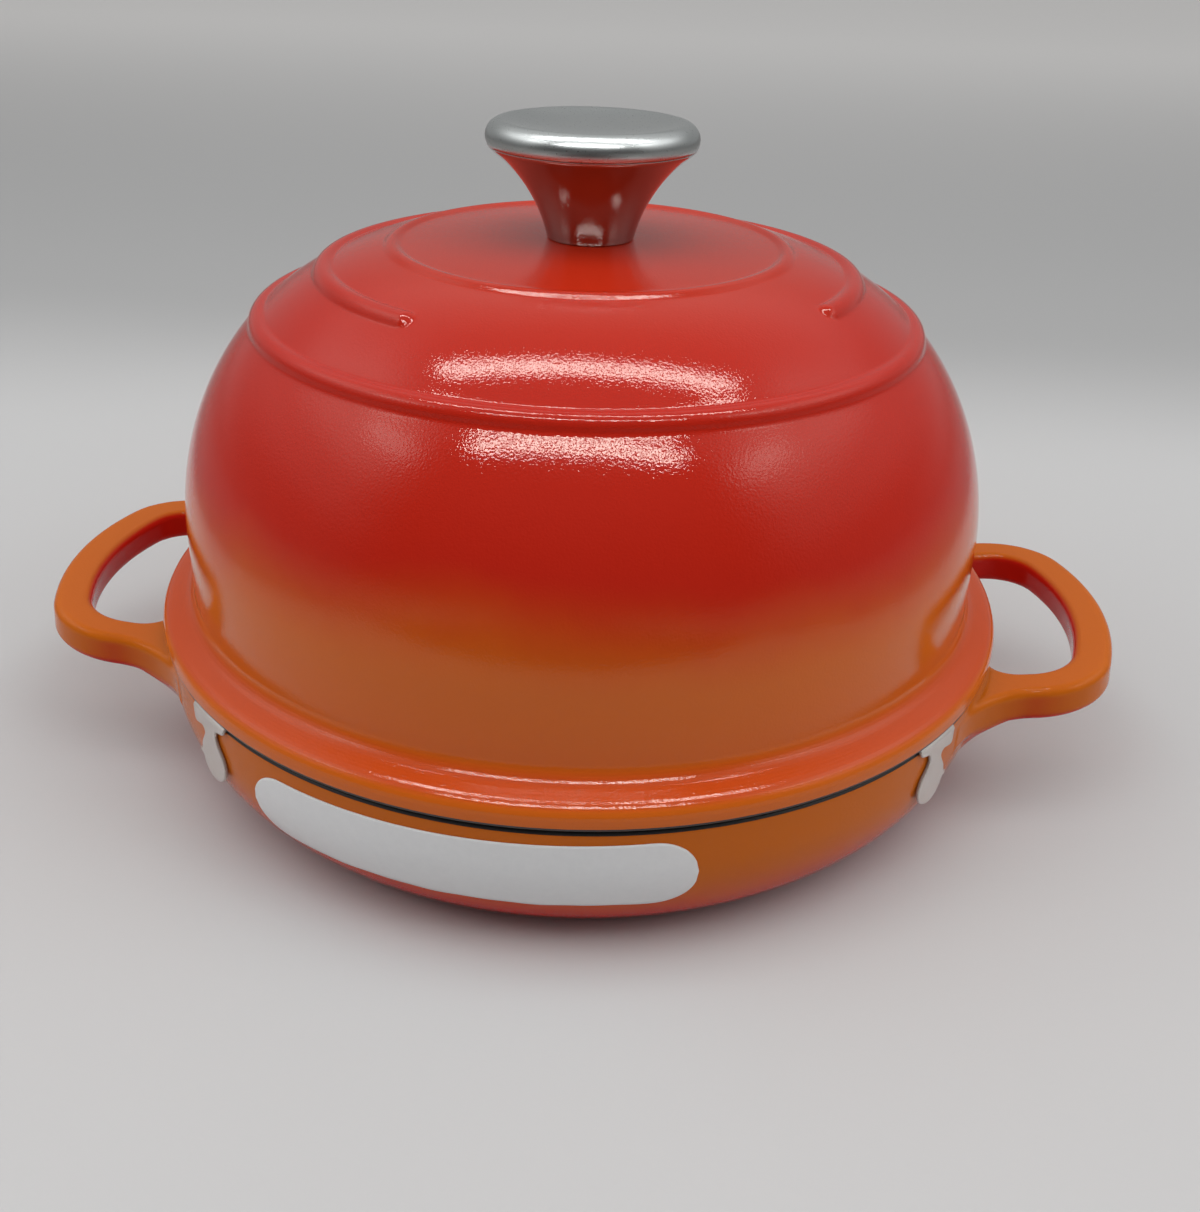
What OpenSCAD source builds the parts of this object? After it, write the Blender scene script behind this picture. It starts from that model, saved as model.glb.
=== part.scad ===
// Domed cast iron bread pan: a shallow pan with two loop handles, a tall lid with a steel knob,
// four soft clips that keep the enamelled rims apart, and a blank label.
// Millimetres, +Z up. The origin is the centre of the foot. The handles lie along X and the
// label faces -Y.

/* [Pan] */
// Diameter of the pan over its rim
pan_d = 258; // [230:1:300]
// Height of the rim above the table
pan_h = 43; // [38:0.5:52]
// Thickness of the pan's side wall
pan_wall = 4.2; // [3:0.1:6]
// Thickness of the pan's floor
pan_floor = 4.5; // [3:0.1:8]
// How far the foot's edge lies in from the rim
foot_in = 20; // [14:0.5:26]
// Height of the straight band under the rim
rim_band = 9.5; // [6:0.5:12]
// Rounding of the rim's two edges
rim_edge = 1.1; // [0.4:0.1:1.6]
// Width of the foot ring that stands on the table
foot_w = 14; // [8:0.5:24]
// Depth of the recess inside the foot ring
foot_recess = 1; // [0.4:0.1:1.8]

/* [Handles] */
// How far a handle stands out from the rim
handle_l = 38.5; // [32:0.5:46]
// Width of a handle over its two arms
handle_span = 100.6; // [90:0.2:112]
// Width of the handle's bar, seen from above
bar_w = 11.4; // [9:0.1:13]
// Height of the handle's bar
bar_h = 10.5; // [8.5:0.1:13]
// Rounding of the bar's four edges
bar_edge = 2.6; // [1:0.1:3.5]
// Radius of the handle's outer bow
bow_r = 99; // [88:1:130]
// Radius of the handle's outer corners
corner_r = 26.5; // [22:0.5:34]
// Radius of the fillet where an arm's outer side runs into the pan
root_outer_r = 14; // [8:0.5:18]
// Radius of the fillet where an arm's inner side runs into the pan
root_inner_r = 10; // [6:0.5:13]
// Radius of the fillet under an arm
root_under_r = 11; // [9:0.5:14]
// Reach of that fillet, out from the wall
root_under_l = 7; // [4:0.5:8]
// Rise of the handle's outer end, in degrees
handle_tilt = 5; // [0:0.5:7]
// Drop of the handle's top face below the rim
handle_drop = 0.8; // [0.8:0.1:4]

/* [Lid] */
// How far the lid's flange stands out past the pan's rim
lid_overhang = 1; // [0:0.1:3]
// Thickness of the flange at its outer edge
flange_h = 7; // [5.5:0.1:9]
// Rounding of the flange's upper outer edge
flange_round = 4; // [2:0.1:4.6]
// Fall of the flange's top face towards its edge, in degrees
flange_fall = 14; // [4:1:20]
// Width of the flange, from the dome's upright wall to its edge
flange_w = 10.1; // [9:0.1:14]
// Thickness of the lid
lid_wall = 3.9; // [3:0.1:6]
// Radius of the fillet between the dome and its flange
dome_foot_r = 5; // [2:0.5:5.5]
// Height of the dome's upright wall above the flange's seat
upright_h = 31; // [26:1:38]
// Radius of the dome's shoulder
shoulder_r = 83.2; // [77:0.2:90]
// Radius of the crown inside the outer ring
crown_r = 74; // [68:1:90]
// How far the crown lies below the outer ring's crest, where it meets that ring
lip_rise = 1.3; // [0.8:0.1:2]
// How far the crown lies below the knob's seat, outside the inner ring
crown_drop = 2.35; // [1.7:0.05:3.2]
// Depth of the ridge that centres the lid inside the rim
ridge_h = 3; // [1.5:0.1:5]
// Width of that ridge
ridge_w = 4; // [2.5:0.1:5]

/* [Rings on the lid] */
// Distance of the outer ring's edge in from the dome's upright wall
outer_ring_in = 22.9; // [20:0.1:26]
// Radius of the outer ring's rounded crest
outer_ring_bead = 3.2; // [2.4:0.1:4]
// Height of that crest's centre above the shoulder's upper end
outer_ring_rise = 1; // [0.4:0.02:2]
// Distance of the middle bead in from the outer ring's crest
middle_bead_in = 18; // [12:0.1:22]
// Width of the middle bead
middle_bead_w = 6.4; // [4:0.1:9]
// Height of the middle bead above the crown
middle_bead_h = 1.7; // [0.8:0.1:2.6]
// Angle that the middle bead leaves open at the front
middle_bead_gap = 93; // [60:1:140]
// Turn of the lid on the pan, in degrees
lid_turn = 13; // [-90:1:90]
// Height of the knob's seat above the outer ring's crest centre
seat_rise = 21.6; // [20:0.1:24]
// How far the seat falls from the knob to the inner ring
seat_fall = 1.7; // [0.8:0.1:2.4]
// Distance of the inner ring's crest in from the outer ring's
inner_ring_in = 37.9; // [34:0.1:42]
// Radius of the inner ring's rounded crest
inner_ring_bead = 3; // [2:0.1:3.6]
// Height of the inner ring's crest above the seat's edge
inner_ring_h = 0.9; // [0.4:0.1:1.8]

/* [Knob] */
// Diameter of the knob's cap
cap_d = 59.5; // [50:0.5:66]
// Height of the knob above its seat
knob_h = 31.8; // [27:0.5:38]
// Radius of the cap's rolled edge
cap_roll = 4.5; // [3.5:0.1:5.5]
// Depth of the dish in the cap
cap_dish = 2.2; // [1:0.1:3]
// Diameter of the stem at its foot
stem_d = 24.8; // [22:0.2:28]
// Radius of the stem's flare
flare_r = 40; // [34:0.5:60]
// Thickness of the stem's sheet
stem_sheet = 1.2; // [0.8:0.1:1.6]
// Thickness of the cap
cap_sheet = 1.6; // [1:0.1:2]
// Diameter of the threaded core
core_d = 16; // [12:0.5:19]
// Length of the threaded core
core_l = 15; // [10:0.5:20]

/* [Screw] */
// Diameter of the screw's shank
screw_d = 6; // [4:0.5:8]
// Diameter of the screw's head
head_d = 12; // [10:0.5:15]
// Height of the screw's head
head_h = 4; // [3:0.1:6]
// Width of the drive slot
slot_w = 1.6; // [1:0.1:2]
// Diameter of the flat washer
washer_d = 18; // [16:0.5:24]
// Thickness of the flat washer
washer_t = 1.2; // [0.8:0.1:2]
// Diameter of the spring washer
spring_d = 10.6; // [9:0.1:13]
// Thickness of the spring washer
spring_t = 1.6; // [1:0.1:2.4]

/* [Rim clips] */
// Thickness of a clip's sheet
clip_t = 1; // [0.6:0.1:1.4]
// Width of a clip over the rim
clip_w = 21; // [14:0.5:30]
// Width of a clip's waist
waist_w = 6.2; // [4:0.2:9]
// Width of a clip's lower lobe
lobe_w = 11.2; // [10:0.1:18]
// Length of a clip's outer tail below the rim
tail_l = 21; // [16:0.5:28]
// Length of a clip's inner tail below the rim
inner_tail_l = 10; // [6:0.5:16]
// Direction of the front left clip
clip_left_angle = 223; // [215:1:235]
// Direction of the front right clip
clip_right_angle = 323; // [305:1:325]

/* [Label] */
// Length of the label along the wall, seen from the front
label_l = 118; // [60:1:150]
// Height of the label
label_h = 20.2; // [10:0.1:24]
// Thickness of the label
label_t = 0.35; // [0.2:0.05:0.6]
// Height of the label's middle above the table
label_z = 27.6; // [23:0.1:30]
// Direction that the label's middle faces
label_angle = 260; // [240:1:300]
// Tilt of the label, in degrees
label_tilt = 0.9; // [-3:0.1:3]

/* [Hidden] */
$fn = 96;

// Overrun of every cut past the face it goes through
over = 1;
// Gap between the lid and the clips that it rests on
seat_gap = 0.05;
// Gap between a clip and the rim's sides
clip_gap = 0.15;
// Gap between the lid's ridge and the clips' inner tails
ridge_gap = 0.6;
// Gap between the label and the wall
label_gap = 0.02;
// Radial clearance of the screw in its threaded core
thread_gap = 0.05;
// Radial clearance of the screw in the lid, the stem and the washers
hole_gap = 0.5;
// How far the arms' roots lie inside the bar's faces
root_inset = 0.6;
// How far the root fillets cut into the faces that they join
fillet_sink = 0.3;
// How much thinner the handle's corners are on each side, and how far they lap, in degrees
lap_step = 0.05;
lap_angle = 0.5;
// Chamfer under the lid's outer edge
flange_chamfer = 0.4;
// How far the seat's flat part stands out past the stem's foot
seat_margin = 0.8;
// Size of the middle bead's round ends, as a share of the bead
dot_share = 1.05;
// Direction of the front, and a full turn, in degrees
front_angle = -90;
full_turn = 360;
// How far the screw stops short of the core's end
screw_short = 3;
// Rounding of the screw head's edge
head_round = 1.5;
// Length and depth of the two crossed drive slots
slot_l = 7;
slot_depth = 2;
// Width and slant of the spring washer's split
spring_split = 1;
spring_split_angle = 25;
// Height of a clip's pad, fillet at its waist and size of its tooth
pad_h = 6;
waist_fillet = 2.2;
tooth = 1.5;

// Colours as the photograph shows them
orange = [0.84, 0.38, 0.10];
red = [0.76, 0.16, 0.10];
steel = [0.74, 0.76, 0.76];
dark_steel = [0.45, 0.46, 0.48];
clear_white = [0.86, 0.83, 0.81];
paper_white = [0.93, 0.93, 0.92];

// Pan: the bowl's curve runs from the straight band under the rim to the foot's edge
pan_r = pan_d / 2;
bowl_z = pan_h - rim_band;
foot_r = pan_r - foot_in;
bowl_r = (foot_in * foot_in + bowl_z * bowl_z) / (2 * foot_in);
bowl_x = pan_r - bowl_r;

// Handle: the bow's centre, the corners' centres and the arms' middle line
reach = pan_r + handle_l;
bow_x = reach - bow_r;
corner_y = handle_span / 2 - corner_r;
corner_x = bow_x + sqrt(pow(bow_r - corner_r, 2) - corner_y * corner_y);
bow_angle = asin(corner_y / (bow_r - corner_r));
arm_y = (handle_span - bar_w) / 2;
arm_root_x = sqrt(pow(pan_r - pan_wall / 2, 2) - pow(arm_y + bar_w / 2, 2));
bar_mid_z = pan_h - handle_drop - bar_h / 2;

// Fillets between an arm and the pan, each sunk a little into both
outer_fillet_y = arm_y + bar_w / 2 + root_outer_r - fillet_sink;
outer_fillet_x = sqrt(pow(pan_r + root_outer_r - fillet_sink, 2) - pow(outer_fillet_y, 2));
inner_fillet_y = arm_y - bar_w / 2 - root_inner_r + fillet_sink;
inner_fillet_x = sqrt(pow(pan_r + root_inner_r - fillet_sink, 2) - pow(inner_fillet_y, 2));
under_x = sqrt(pan_r * pan_r - arm_y * arm_y) + root_under_l;

// Lid
lid_r = pan_r + lid_overhang;
dome_r = lid_r - flange_w;
outer_ring_r = dome_r - outer_ring_in;
lid_z = pan_h + clip_t + seat_gap;
shoulder_x = dome_r - shoulder_r;
step_z = upright_h + sqrt(pow(shoulder_r, 2) - pow(outer_ring_r - shoulder_x, 2));
outer_ring_x = outer_ring_r - outer_ring_bead;
outer_ring_z = step_z + outer_ring_rise;
inner_ring_x = outer_ring_x - inner_ring_in;
seat_z = outer_ring_z + seat_rise;
ceiling_z = seat_z - seat_fall - lid_wall;
middle_bead_x = outer_ring_x - middle_bead_in;
seat_dome_r = (pow(inner_ring_x, 2) + pow(seat_fall, 2)) / (2 * seat_fall);

// The crown's arc centre, from the arc's two ends at the inner and the outer ring
crown = meet(
    [inner_ring_x + inner_ring_bead, seat_z - crown_drop], crown_r,
    [outer_ring_x, outer_ring_z + outer_ring_bead - lip_rise], crown_r
);

// Knob, in heights above the flange's seat
cap_r = cap_d / 2;
knob_top_z = seat_z + knob_h;
roll_x = cap_r - cap_roll;
roll_z = knob_top_z - cap_roll;
seam_z = roll_z - cap_roll / 2;
stem_r = stem_d / 2;
flare = meet([stem_r, seat_z], flare_r, [roll_x, roll_z], flare_r + cap_roll);

// Clip. The inner tail clears the inside wall where the tail ends, below the straight band.
clip_lobe_r = lobe_w / 2;
clip_outer_r = pan_r + clip_gap + clip_t;
tail_wall_x = bowl_x + sqrt(pow(bowl_r - pan_wall, 2) - pow(max(0, inner_tail_l - rim_band), 2));
clip_inner_r = tail_wall_x - clip_gap - clip_t;
ridge_r = clip_inner_r - ridge_gap;

// Point at distance ra from a and rb from b, on the right of the way from a to b
function meet(a, ra, b, rb) =
    let (
        d = norm(b - a),
        u = (b - a) / d,
        along = (ra * ra - rb * rb + d * d) / (2 * d),
        off = sqrt(ra * ra - along * along)
    )
    a + along * u + off * [u[1], -u[0]];

// Block from the axis out to r, between two heights
module disc_2d(r, z0, z1) {
    translate([0, z0]) square([r, z1 - z0]);
}

// Flat ring's section between two radii, between two heights
module ring_2d(r0, r1, z0, z1) {
    translate([r0, z0]) square([r1 - r0, z1 - z0]);
}

// What rounding takes off a corner; the material lies on the side that sx and sz point to
module corner_cut_2d(x, z, r, sx, sz) {
    difference() {
        translate([sx > 0 ? x - over : x - r, sz > 0 ? z - over : z - r]) square(r + over);
        translate([x + sx * r, z + sz * r]) circle(r);
    }
}

// Rectangle with four round corners, centred
module round_bar_2d(w, h, r) {
    square([w - 2 * r, h], center = true);
    square([w, h - 2 * r], center = true);
    for (sx = [-1, 1], sy = [-1, 1])
        translate([sx * (w / 2 - r), sy * (h / 2 - r)]) circle(r);
}

// Section of the pan's outside, or of a skin that stands off it by grow
module bowl_2d(grow, z0, z1) {
    intersection() {
        translate([bowl_x, bowl_z]) circle(bowl_r + grow);
        disc_2d(pan_r + grow, z0, bowl_z);
    }
    disc_2d(bowl_x, z0, z1);
    disc_2d(pan_r + grow, bowl_z, z1);
}

// The handle's bar, run along the bow, both corners and both arms. A corner is a hair thinner
// than its neighbours and laps into both, so the stretches join cleanly.
module handle_loop() {
    translate([bow_x, 0, 0])
        rotate_extrude(angle = 2 * bow_angle, start = -bow_angle)
            translate([bow_r - bar_w / 2, 0]) round_bar_2d(bar_w, bar_h, bar_edge);
    for (side = [0, 1])
        mirror([0, side, 0]) {
            translate([corner_x, corner_y, 0])
                rotate_extrude(angle = 90 - bow_angle + 2 * lap_angle, start = bow_angle - lap_angle)
                    translate([corner_r - bar_w / 2, 0])
                        round_bar_2d(bar_w - 2 * lap_step, bar_h - 2 * lap_step, bar_edge);
            translate([arm_root_x, arm_y, 0])
                rotate([90, 0, 90])
                    linear_extrude(corner_x - arm_root_x) round_bar_2d(bar_w, bar_h, bar_edge);
        }
}

// Plan of one arm's root: the arm and its two fillets against the wall
module root_2d() {
    outer = [outer_fillet_x, outer_fillet_y];
    inner = [inner_fillet_x, inner_fillet_y];
    difference() {
        polygon([
            [outer_fillet_x, arm_y],
            [outer_fillet_x, arm_y + bar_w / 2],
            pan_r * outer / norm(outer),
            (pan_r - pan_wall / 2) * outer / norm(outer),
            (pan_r - pan_wall / 2) * inner / norm(inner),
            pan_r * inner / norm(inner),
            [inner_fillet_x, arm_y - bar_w / 2],
            [inner_fillet_x, arm_y]
        ]);
        translate(outer) circle(root_outer_r);
        translate(inner) circle(root_inner_r);
    }
}

// Side view of the fillet under an arm, in heights from the bar's middle
module under_2d() {
    difference() {
        translate([arm_root_x, -bar_h / 2 - root_under_r])
            square([under_x - arm_root_x, root_under_r + bar_edge]);
        translate([under_x, fillet_sink - bar_h / 2 - root_under_r]) circle(root_under_r);
    }
}

module handle() {
    translate([pan_r, 0, bar_mid_z])
        rotate([0, -handle_tilt, 0])
            translate([-pan_r, 0, 0]) {
                handle_loop();
                for (side = [0, 1])
                    mirror([0, side, 0]) {
                        translate([0, 0, root_inset - bar_h / 2])
                            linear_extrude(bar_h - 2 * root_inset) root_2d();
                        translate([0, arm_y + bar_w / 2 - root_inset, 0])
                            rotate([90, 0, 0])
                                linear_extrude(bar_w - 2 * root_inset) under_2d();
                    }
            }
}

module pan_base() {
    color(orange)
        difference() {
            union() {
                rotate_extrude()
                    difference() {
                        bowl_2d(0, 0, pan_h);
                        corner_cut_2d(pan_r, pan_h, rim_edge, -1, -1);
                    }
                handle();
                rotate([0, 0, 180]) handle();
            }
            rotate_extrude() {
                bowl_2d(-pan_wall, pan_floor, pan_h + over);
                corner_cut_2d(pan_r - pan_wall, pan_h, rim_edge, 1, -1);
            }
            translate([0, 0, -over]) cylinder(r = foot_r - foot_w, h = foot_recess + over);
        }
}

// Section under the dome's shoulder and upright wall, drawn in by the wall's thickness
module dome_2d(inset, z0) {
    translate([shoulder_x, upright_h]) circle(shoulder_r - inset);
    disc_2d(shoulder_x, z0, seat_z);
    disc_2d(dome_r - inset, z0, upright_h);
}

// Section under the crown, drawn in by the wall's thickness; it takes in all below the shoulder
module crown_2d(inset, z0) {
    translate(crown) circle(crown_r - inset);
    disc_2d(crown[0], z0, seat_z);
    disc_2d(dome_r, z0, step_z - lid_wall);
}

// Section under the seat: flat under the knob, then falling gently to the inner ring
module seat_2d() {
    intersection() {
        translate([0, seat_z - seat_dome_r]) circle(seat_dome_r, $fn = 12 * $fn);
        disc_2d(inner_ring_x, 0, seat_z);
    }
    disc_2d(stem_r + seat_margin, 0, seat_z);
}

// Section of the flange with its round edge and the fillet up to the dome
module flange_2d() {
    edge = [lid_r - flange_round, flange_h - flange_round];
    top = edge + flange_round * [sin(flange_fall), cos(flange_fall)];
    wall_top_z = top[1] + (top[0] - dome_r) * tan(flange_fall);
    fillet_x = dome_r + dome_foot_r;
    fillet_z = top[1] + (top[0] - fillet_x) * tan(flange_fall) + dome_foot_r / cos(flange_fall);
    intersection() {
        translate(edge) circle(flange_round);
        disc_2d(lid_r, edge[1], flange_h);
    }
    polygon([
        [0, 0], [lid_r - flange_chamfer, 0], [lid_r, flange_chamfer], [lid_r, edge[1]],
        edge, top, [dome_r, wall_top_z], [0, wall_top_z]
    ]);
    difference() {
        polygon([
            [dome_r - lid_wall / 2, wall_top_z], [dome_r - lid_wall / 2, fillet_z],
            [dome_r, fillet_z],
            [fillet_x, fillet_z] - dome_foot_r * [sin(flange_fall), cos(flange_fall)],
            [fillet_x, edge[1]], [dome_r, edge[1]]
        ]);
        translate([fillet_x, fillet_z]) circle(dome_foot_r);
    }
}

module lid_outer_2d() {
    intersection() {
        dome_2d(0, 0);
        disc_2d(dome_r, 0, step_z);
    }
    intersection() {
        crown_2d(0, 0);
        ring_2d(inner_ring_x, outer_ring_x, 0, seat_z);
    }
    seat_2d();
    disc_2d(outer_ring_r, step_z - outer_ring_bead, outer_ring_z);
    translate([outer_ring_x, outer_ring_z]) circle(outer_ring_bead);
    translate([inner_ring_x, seat_z - seat_fall + inner_ring_h - inner_ring_bead])
        circle(inner_ring_bead);
    flange_2d();
    ring_2d(ridge_r - ridge_w, ridge_r, -ridge_h, flange_h / 2);
}

module lid_inner_2d() {
    intersection() {
        dome_2d(lid_wall, -ridge_h - over);
        crown_2d(lid_wall, -ridge_h - over);
        disc_2d(dome_r, -ridge_h - over, ceiling_z);
    }
}

// The middle bead runs round the crown with a gap at the front and a round end on each side
module middle_bead() {
    turn = full_turn - middle_bead_gap;
    start = lid_turn + front_angle + middle_bead_gap / 2;
    bead_r = (pow(middle_bead_w / 2, 2) + pow(middle_bead_h, 2)) / (2 * middle_bead_h);
    up = [middle_bead_x - crown[0], sqrt(pow(crown_r, 2) - pow(middle_bead_x - crown[0], 2))];
    centre = crown + (crown_r + middle_bead_h - bead_r) * up / norm(up);
    rotate_extrude(angle = turn, start = start) translate(centre) circle(bead_r);
    for (a = [start, start + turn])
        rotate([0, 0, a]) translate([centre[0], 0, centre[1]]) sphere(bead_r * dot_share);
}

module dome_lid() {
    color(red)
        translate([0, 0, lid_z])
            difference() {
                union() {
                    rotate_extrude() lid_outer_2d();
                    middle_bead();
                }
                rotate_extrude() lid_inner_2d();
                translate([0, 0, ceiling_z - over])
                    cylinder(r = screw_d / 2 + hole_gap, h = seat_z - ceiling_z + 2 * over);
            }
}

// Section under the stem's flare and the lower quarter of the rolled edge
module stem_2d(inset, z0) {
    to_flare = flare - [roll_x, roll_z];
    join = [roll_x, roll_z] + (cap_roll - inset) * to_flare / norm(to_flare);
    difference() {
        polygon([[0, z0], [flare[0], z0], join, [0, join[1]]]);
        translate(flare) circle(flare_r + inset);
    }
    intersection() {
        union() {
            translate([roll_x, roll_z]) circle(cap_roll - inset);
            disc_2d(roll_x, z0, roll_z);
        }
        disc_2d(cap_r, join[1], inset > 0 ? seam_z + over : seam_z);
    }
}

module knob_stem() {
    color(dark_steel)
        translate([0, 0, lid_z])
            difference() {
                rotate_extrude() stem_2d(0, seat_z);
                rotate_extrude() stem_2d(stem_sheet, seat_z + stem_sheet);
                translate([0, 0, seat_z - over])
                    cylinder(r = screw_d / 2 + hole_gap, h = stem_sheet + 2 * over);
            }
}

// Section of the cap: a rolled edge round a shallow dish
module cap_2d() {
    dish_r = (roll_x * roll_x + cap_dish * cap_dish) / (2 * cap_dish);
    difference() {
        union() {
            translate([roll_x, roll_z]) circle(cap_roll);
            disc_2d(roll_x - cap_roll / 8, seam_z, knob_top_z);
        }
        translate([0, knob_top_z - cap_dish + dish_r]) circle(dish_r, $fn = 6 * $fn);
        translate([roll_x, roll_z]) circle(cap_roll - cap_sheet);
        disc_2d(roll_x, seam_z - over, knob_top_z - cap_dish - cap_sheet);
        disc_2d(cap_r + over, roll_z - 2 * cap_roll, seam_z);
    }
}

module knob_cap() {
    color(steel) translate([0, 0, lid_z]) rotate_extrude() cap_2d();
}

module knob_core() {
    color(dark_steel)
        translate([0, 0, lid_z + seat_z + stem_sheet])
            difference() {
                cylinder(r = core_d / 2, h = core_l);
                translate([0, 0, -over])
                    cylinder(r = screw_d / 2 + thread_gap, h = core_l + 2 * over);
            }
}

module knob_screw() {
    head_z = ceiling_z - washer_t - spring_t - head_h;
    shank_l = seat_z + stem_sheet + core_l - screw_short - head_z - head_h;
    color(steel)
        translate([0, 0, lid_z + head_z])
            difference() {
                union() {
                    rotate_extrude()
                        difference() {
                            disc_2d(head_d / 2, 0, head_h);
                            corner_cut_2d(head_d / 2, 0, head_round, -1, 1);
                        }
                    translate([0, 0, head_h]) cylinder(r = screw_d / 2, h = shank_l);
                }
                for (a = [0, 90])
                    rotate([0, 0, a])
                        translate([-slot_l / 2, -slot_w / 2, -over])
                            cube([slot_l, slot_w, slot_depth + over]);
            }
}

module flat_washer() {
    color(steel)
        translate([0, 0, lid_z + ceiling_z - washer_t])
            difference() {
                cylinder(r = washer_d / 2, h = washer_t);
                translate([0, 0, -over])
                    cylinder(r = screw_d / 2 + hole_gap, h = washer_t + 2 * over);
            }
}

module spring_washer() {
    color(dark_steel)
        translate([0, 0, lid_z + ceiling_z - washer_t - spring_t])
            difference() {
                cylinder(r = spring_d / 2, h = spring_t);
                translate([0, 0, -over])
                    cylinder(r = screw_d / 2 + hole_gap / 2, h = spring_t + 2 * over);
                rotate([spring_split_angle, 0, 0])
                    translate([0, -spring_split / 2, -spring_t])
                        cube([spring_d, spring_split, 3 * spring_t]);
            }
}

// Outline of a clip seen square on, with the rim's top at zero: pad, waist, lobe and tooth
module clip_outline_2d(tooth_side) {
    translate([-clip_w / 2, -pad_h / 2]) square([clip_w, pad_h / 2 + clip_t + over]);
    translate([0, -pad_h / 2]) round_bar_2d(clip_w, pad_h, pad_h / 2 - clip_t / 2);
    translate([-waist_w / 2, -tail_l + clip_lobe_r]) square([waist_w, tail_l - clip_lobe_r]);
    translate([0, -tail_l + clip_lobe_r]) circle(clip_lobe_r);
    for (side = [-1, 1])
        difference() {
            translate([side * (waist_w / 2 + waist_fillet / 2), -pad_h - waist_fillet / 2])
                square(waist_fillet, center = true);
            translate([side * (waist_w / 2 + waist_fillet), -pad_h - waist_fillet])
                circle(waist_fillet);
        }
    translate([min(0, tooth_side * (clip_lobe_r + tooth)), -tail_l + clip_lobe_r - tooth])
        square([clip_lobe_r + tooth, tooth]);
}

// One clip: a folded sheet over the rim, cut to its outline
module rim_clip(angle, tooth_side) {
    color(clear_white)
        intersection() {
            rotate_extrude() {
                ring_2d(clip_outer_r - clip_t, clip_outer_r, pan_h - tail_l, pan_h + clip_t);
                ring_2d(clip_inner_r, clip_outer_r, pan_h, pan_h + clip_t);
                ring_2d(clip_inner_r, clip_inner_r + clip_t, pan_h - inner_tail_l, pan_h + clip_t);
            }
            rotate([0, 0, angle])
                translate([clip_inner_r - clip_w, 0, pan_h])
                    rotate([90, 0, 90])
                        linear_extrude(2 * clip_w) clip_outline_2d(tooth_side);
        }
}

module clip_front_left() {
    rim_clip(clip_left_angle, -1);
}

module clip_front_right() {
    rim_clip(clip_right_angle, 1);
}

module clip_back_left() {
    rim_clip(clip_right_angle - 180, 1);
}

module clip_back_right() {
    rim_clip(clip_left_angle - 180, -1);
}

module front_label() {
    color(paper_white)
        intersection() {
            rotate_extrude()
                difference() {
                    bowl_2d(label_gap + label_t, 0, pan_h);
                    bowl_2d(label_gap, -over, pan_h + over);
                }
            rotate([0, 0, label_angle])
                translate([bowl_x, 0, label_z])
                    rotate([90, 0, 90])
                        linear_extrude(pan_r) rotate(label_tilt) label_2d();
        }
}

module label_2d() {
    for (side = [-1, 1]) translate([side * (label_l - label_h) / 2, 0]) circle(label_h / 2);
    square([label_l - label_h, label_h], center = true);
}

pan_base();
dome_lid();
knob_stem();
knob_cap();
knob_core();
knob_screw();
flat_washer();
spring_washer();
clip_front_left();
clip_front_right();
clip_back_left();
clip_back_right();
front_label();
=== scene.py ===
# %% [markdown]
# # An enamelled bread pan, dressed for its portrait
#
# The pan is two iron castings in glossy enamel: a shallow base with loop handles, and a tall
# domed lid with raised rings and a steel knob. Its construction already exists as solids. Here
# every visible piece gets the soft edges, the sprayed colours and the gloss of the real one.
#
# The pieces are turned round an axis, cut out of a distance field, or laid on a surface, so each
# one below starts from a few sizes in millimetres.

# %% Load the frame and measure it
import math

import bpy
import numpy as np
import openvdb
from mathutils import Matrix, Vector


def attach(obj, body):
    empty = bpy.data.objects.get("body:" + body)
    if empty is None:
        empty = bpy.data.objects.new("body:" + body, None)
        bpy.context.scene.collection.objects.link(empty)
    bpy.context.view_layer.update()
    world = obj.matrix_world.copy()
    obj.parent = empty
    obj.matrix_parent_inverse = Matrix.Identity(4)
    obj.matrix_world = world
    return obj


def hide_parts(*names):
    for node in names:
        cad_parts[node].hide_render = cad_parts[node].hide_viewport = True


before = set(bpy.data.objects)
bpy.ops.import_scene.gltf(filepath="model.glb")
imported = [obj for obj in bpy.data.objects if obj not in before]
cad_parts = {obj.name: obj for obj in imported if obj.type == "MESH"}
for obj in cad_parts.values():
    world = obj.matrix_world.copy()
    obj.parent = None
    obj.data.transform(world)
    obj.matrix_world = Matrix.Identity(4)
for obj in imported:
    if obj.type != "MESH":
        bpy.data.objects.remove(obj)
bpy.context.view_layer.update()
MM = 0.001

# %% [markdown]
# ## The camera
#
# The photograph was taken by hand, from in front and above. A camera could be placed by eye, but
# the rings and the flange are true circles, so their ellipses fix its place, its lens and its
# slight roll. Those four results are the values here; nothing is shifted or blurred.

# %% Place the camera
PHOTO_W = 1200
FOCAL_PX = 1302.97
SENSOR = 36.0
LOOK_DOWN = math.radians(28.479)
ROLL = math.radians(1.897)
TURN = math.radians(2.84)
EYE = Vector((24.93, -376.40, 239.86)) * MM

turned = Matrix.Rotation(TURN, 3, "Z")
ahead = turned @ Vector((0, math.cos(LOOK_DOWN), -math.sin(LOOK_DOWN)))
level_right = turned @ Vector((1, 0, 0))
level_up = level_right.cross(ahead)
cam_right = level_right * math.cos(ROLL) + level_up * math.sin(ROLL)
cam_up = level_up * math.cos(ROLL) - level_right * math.sin(ROLL)

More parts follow.
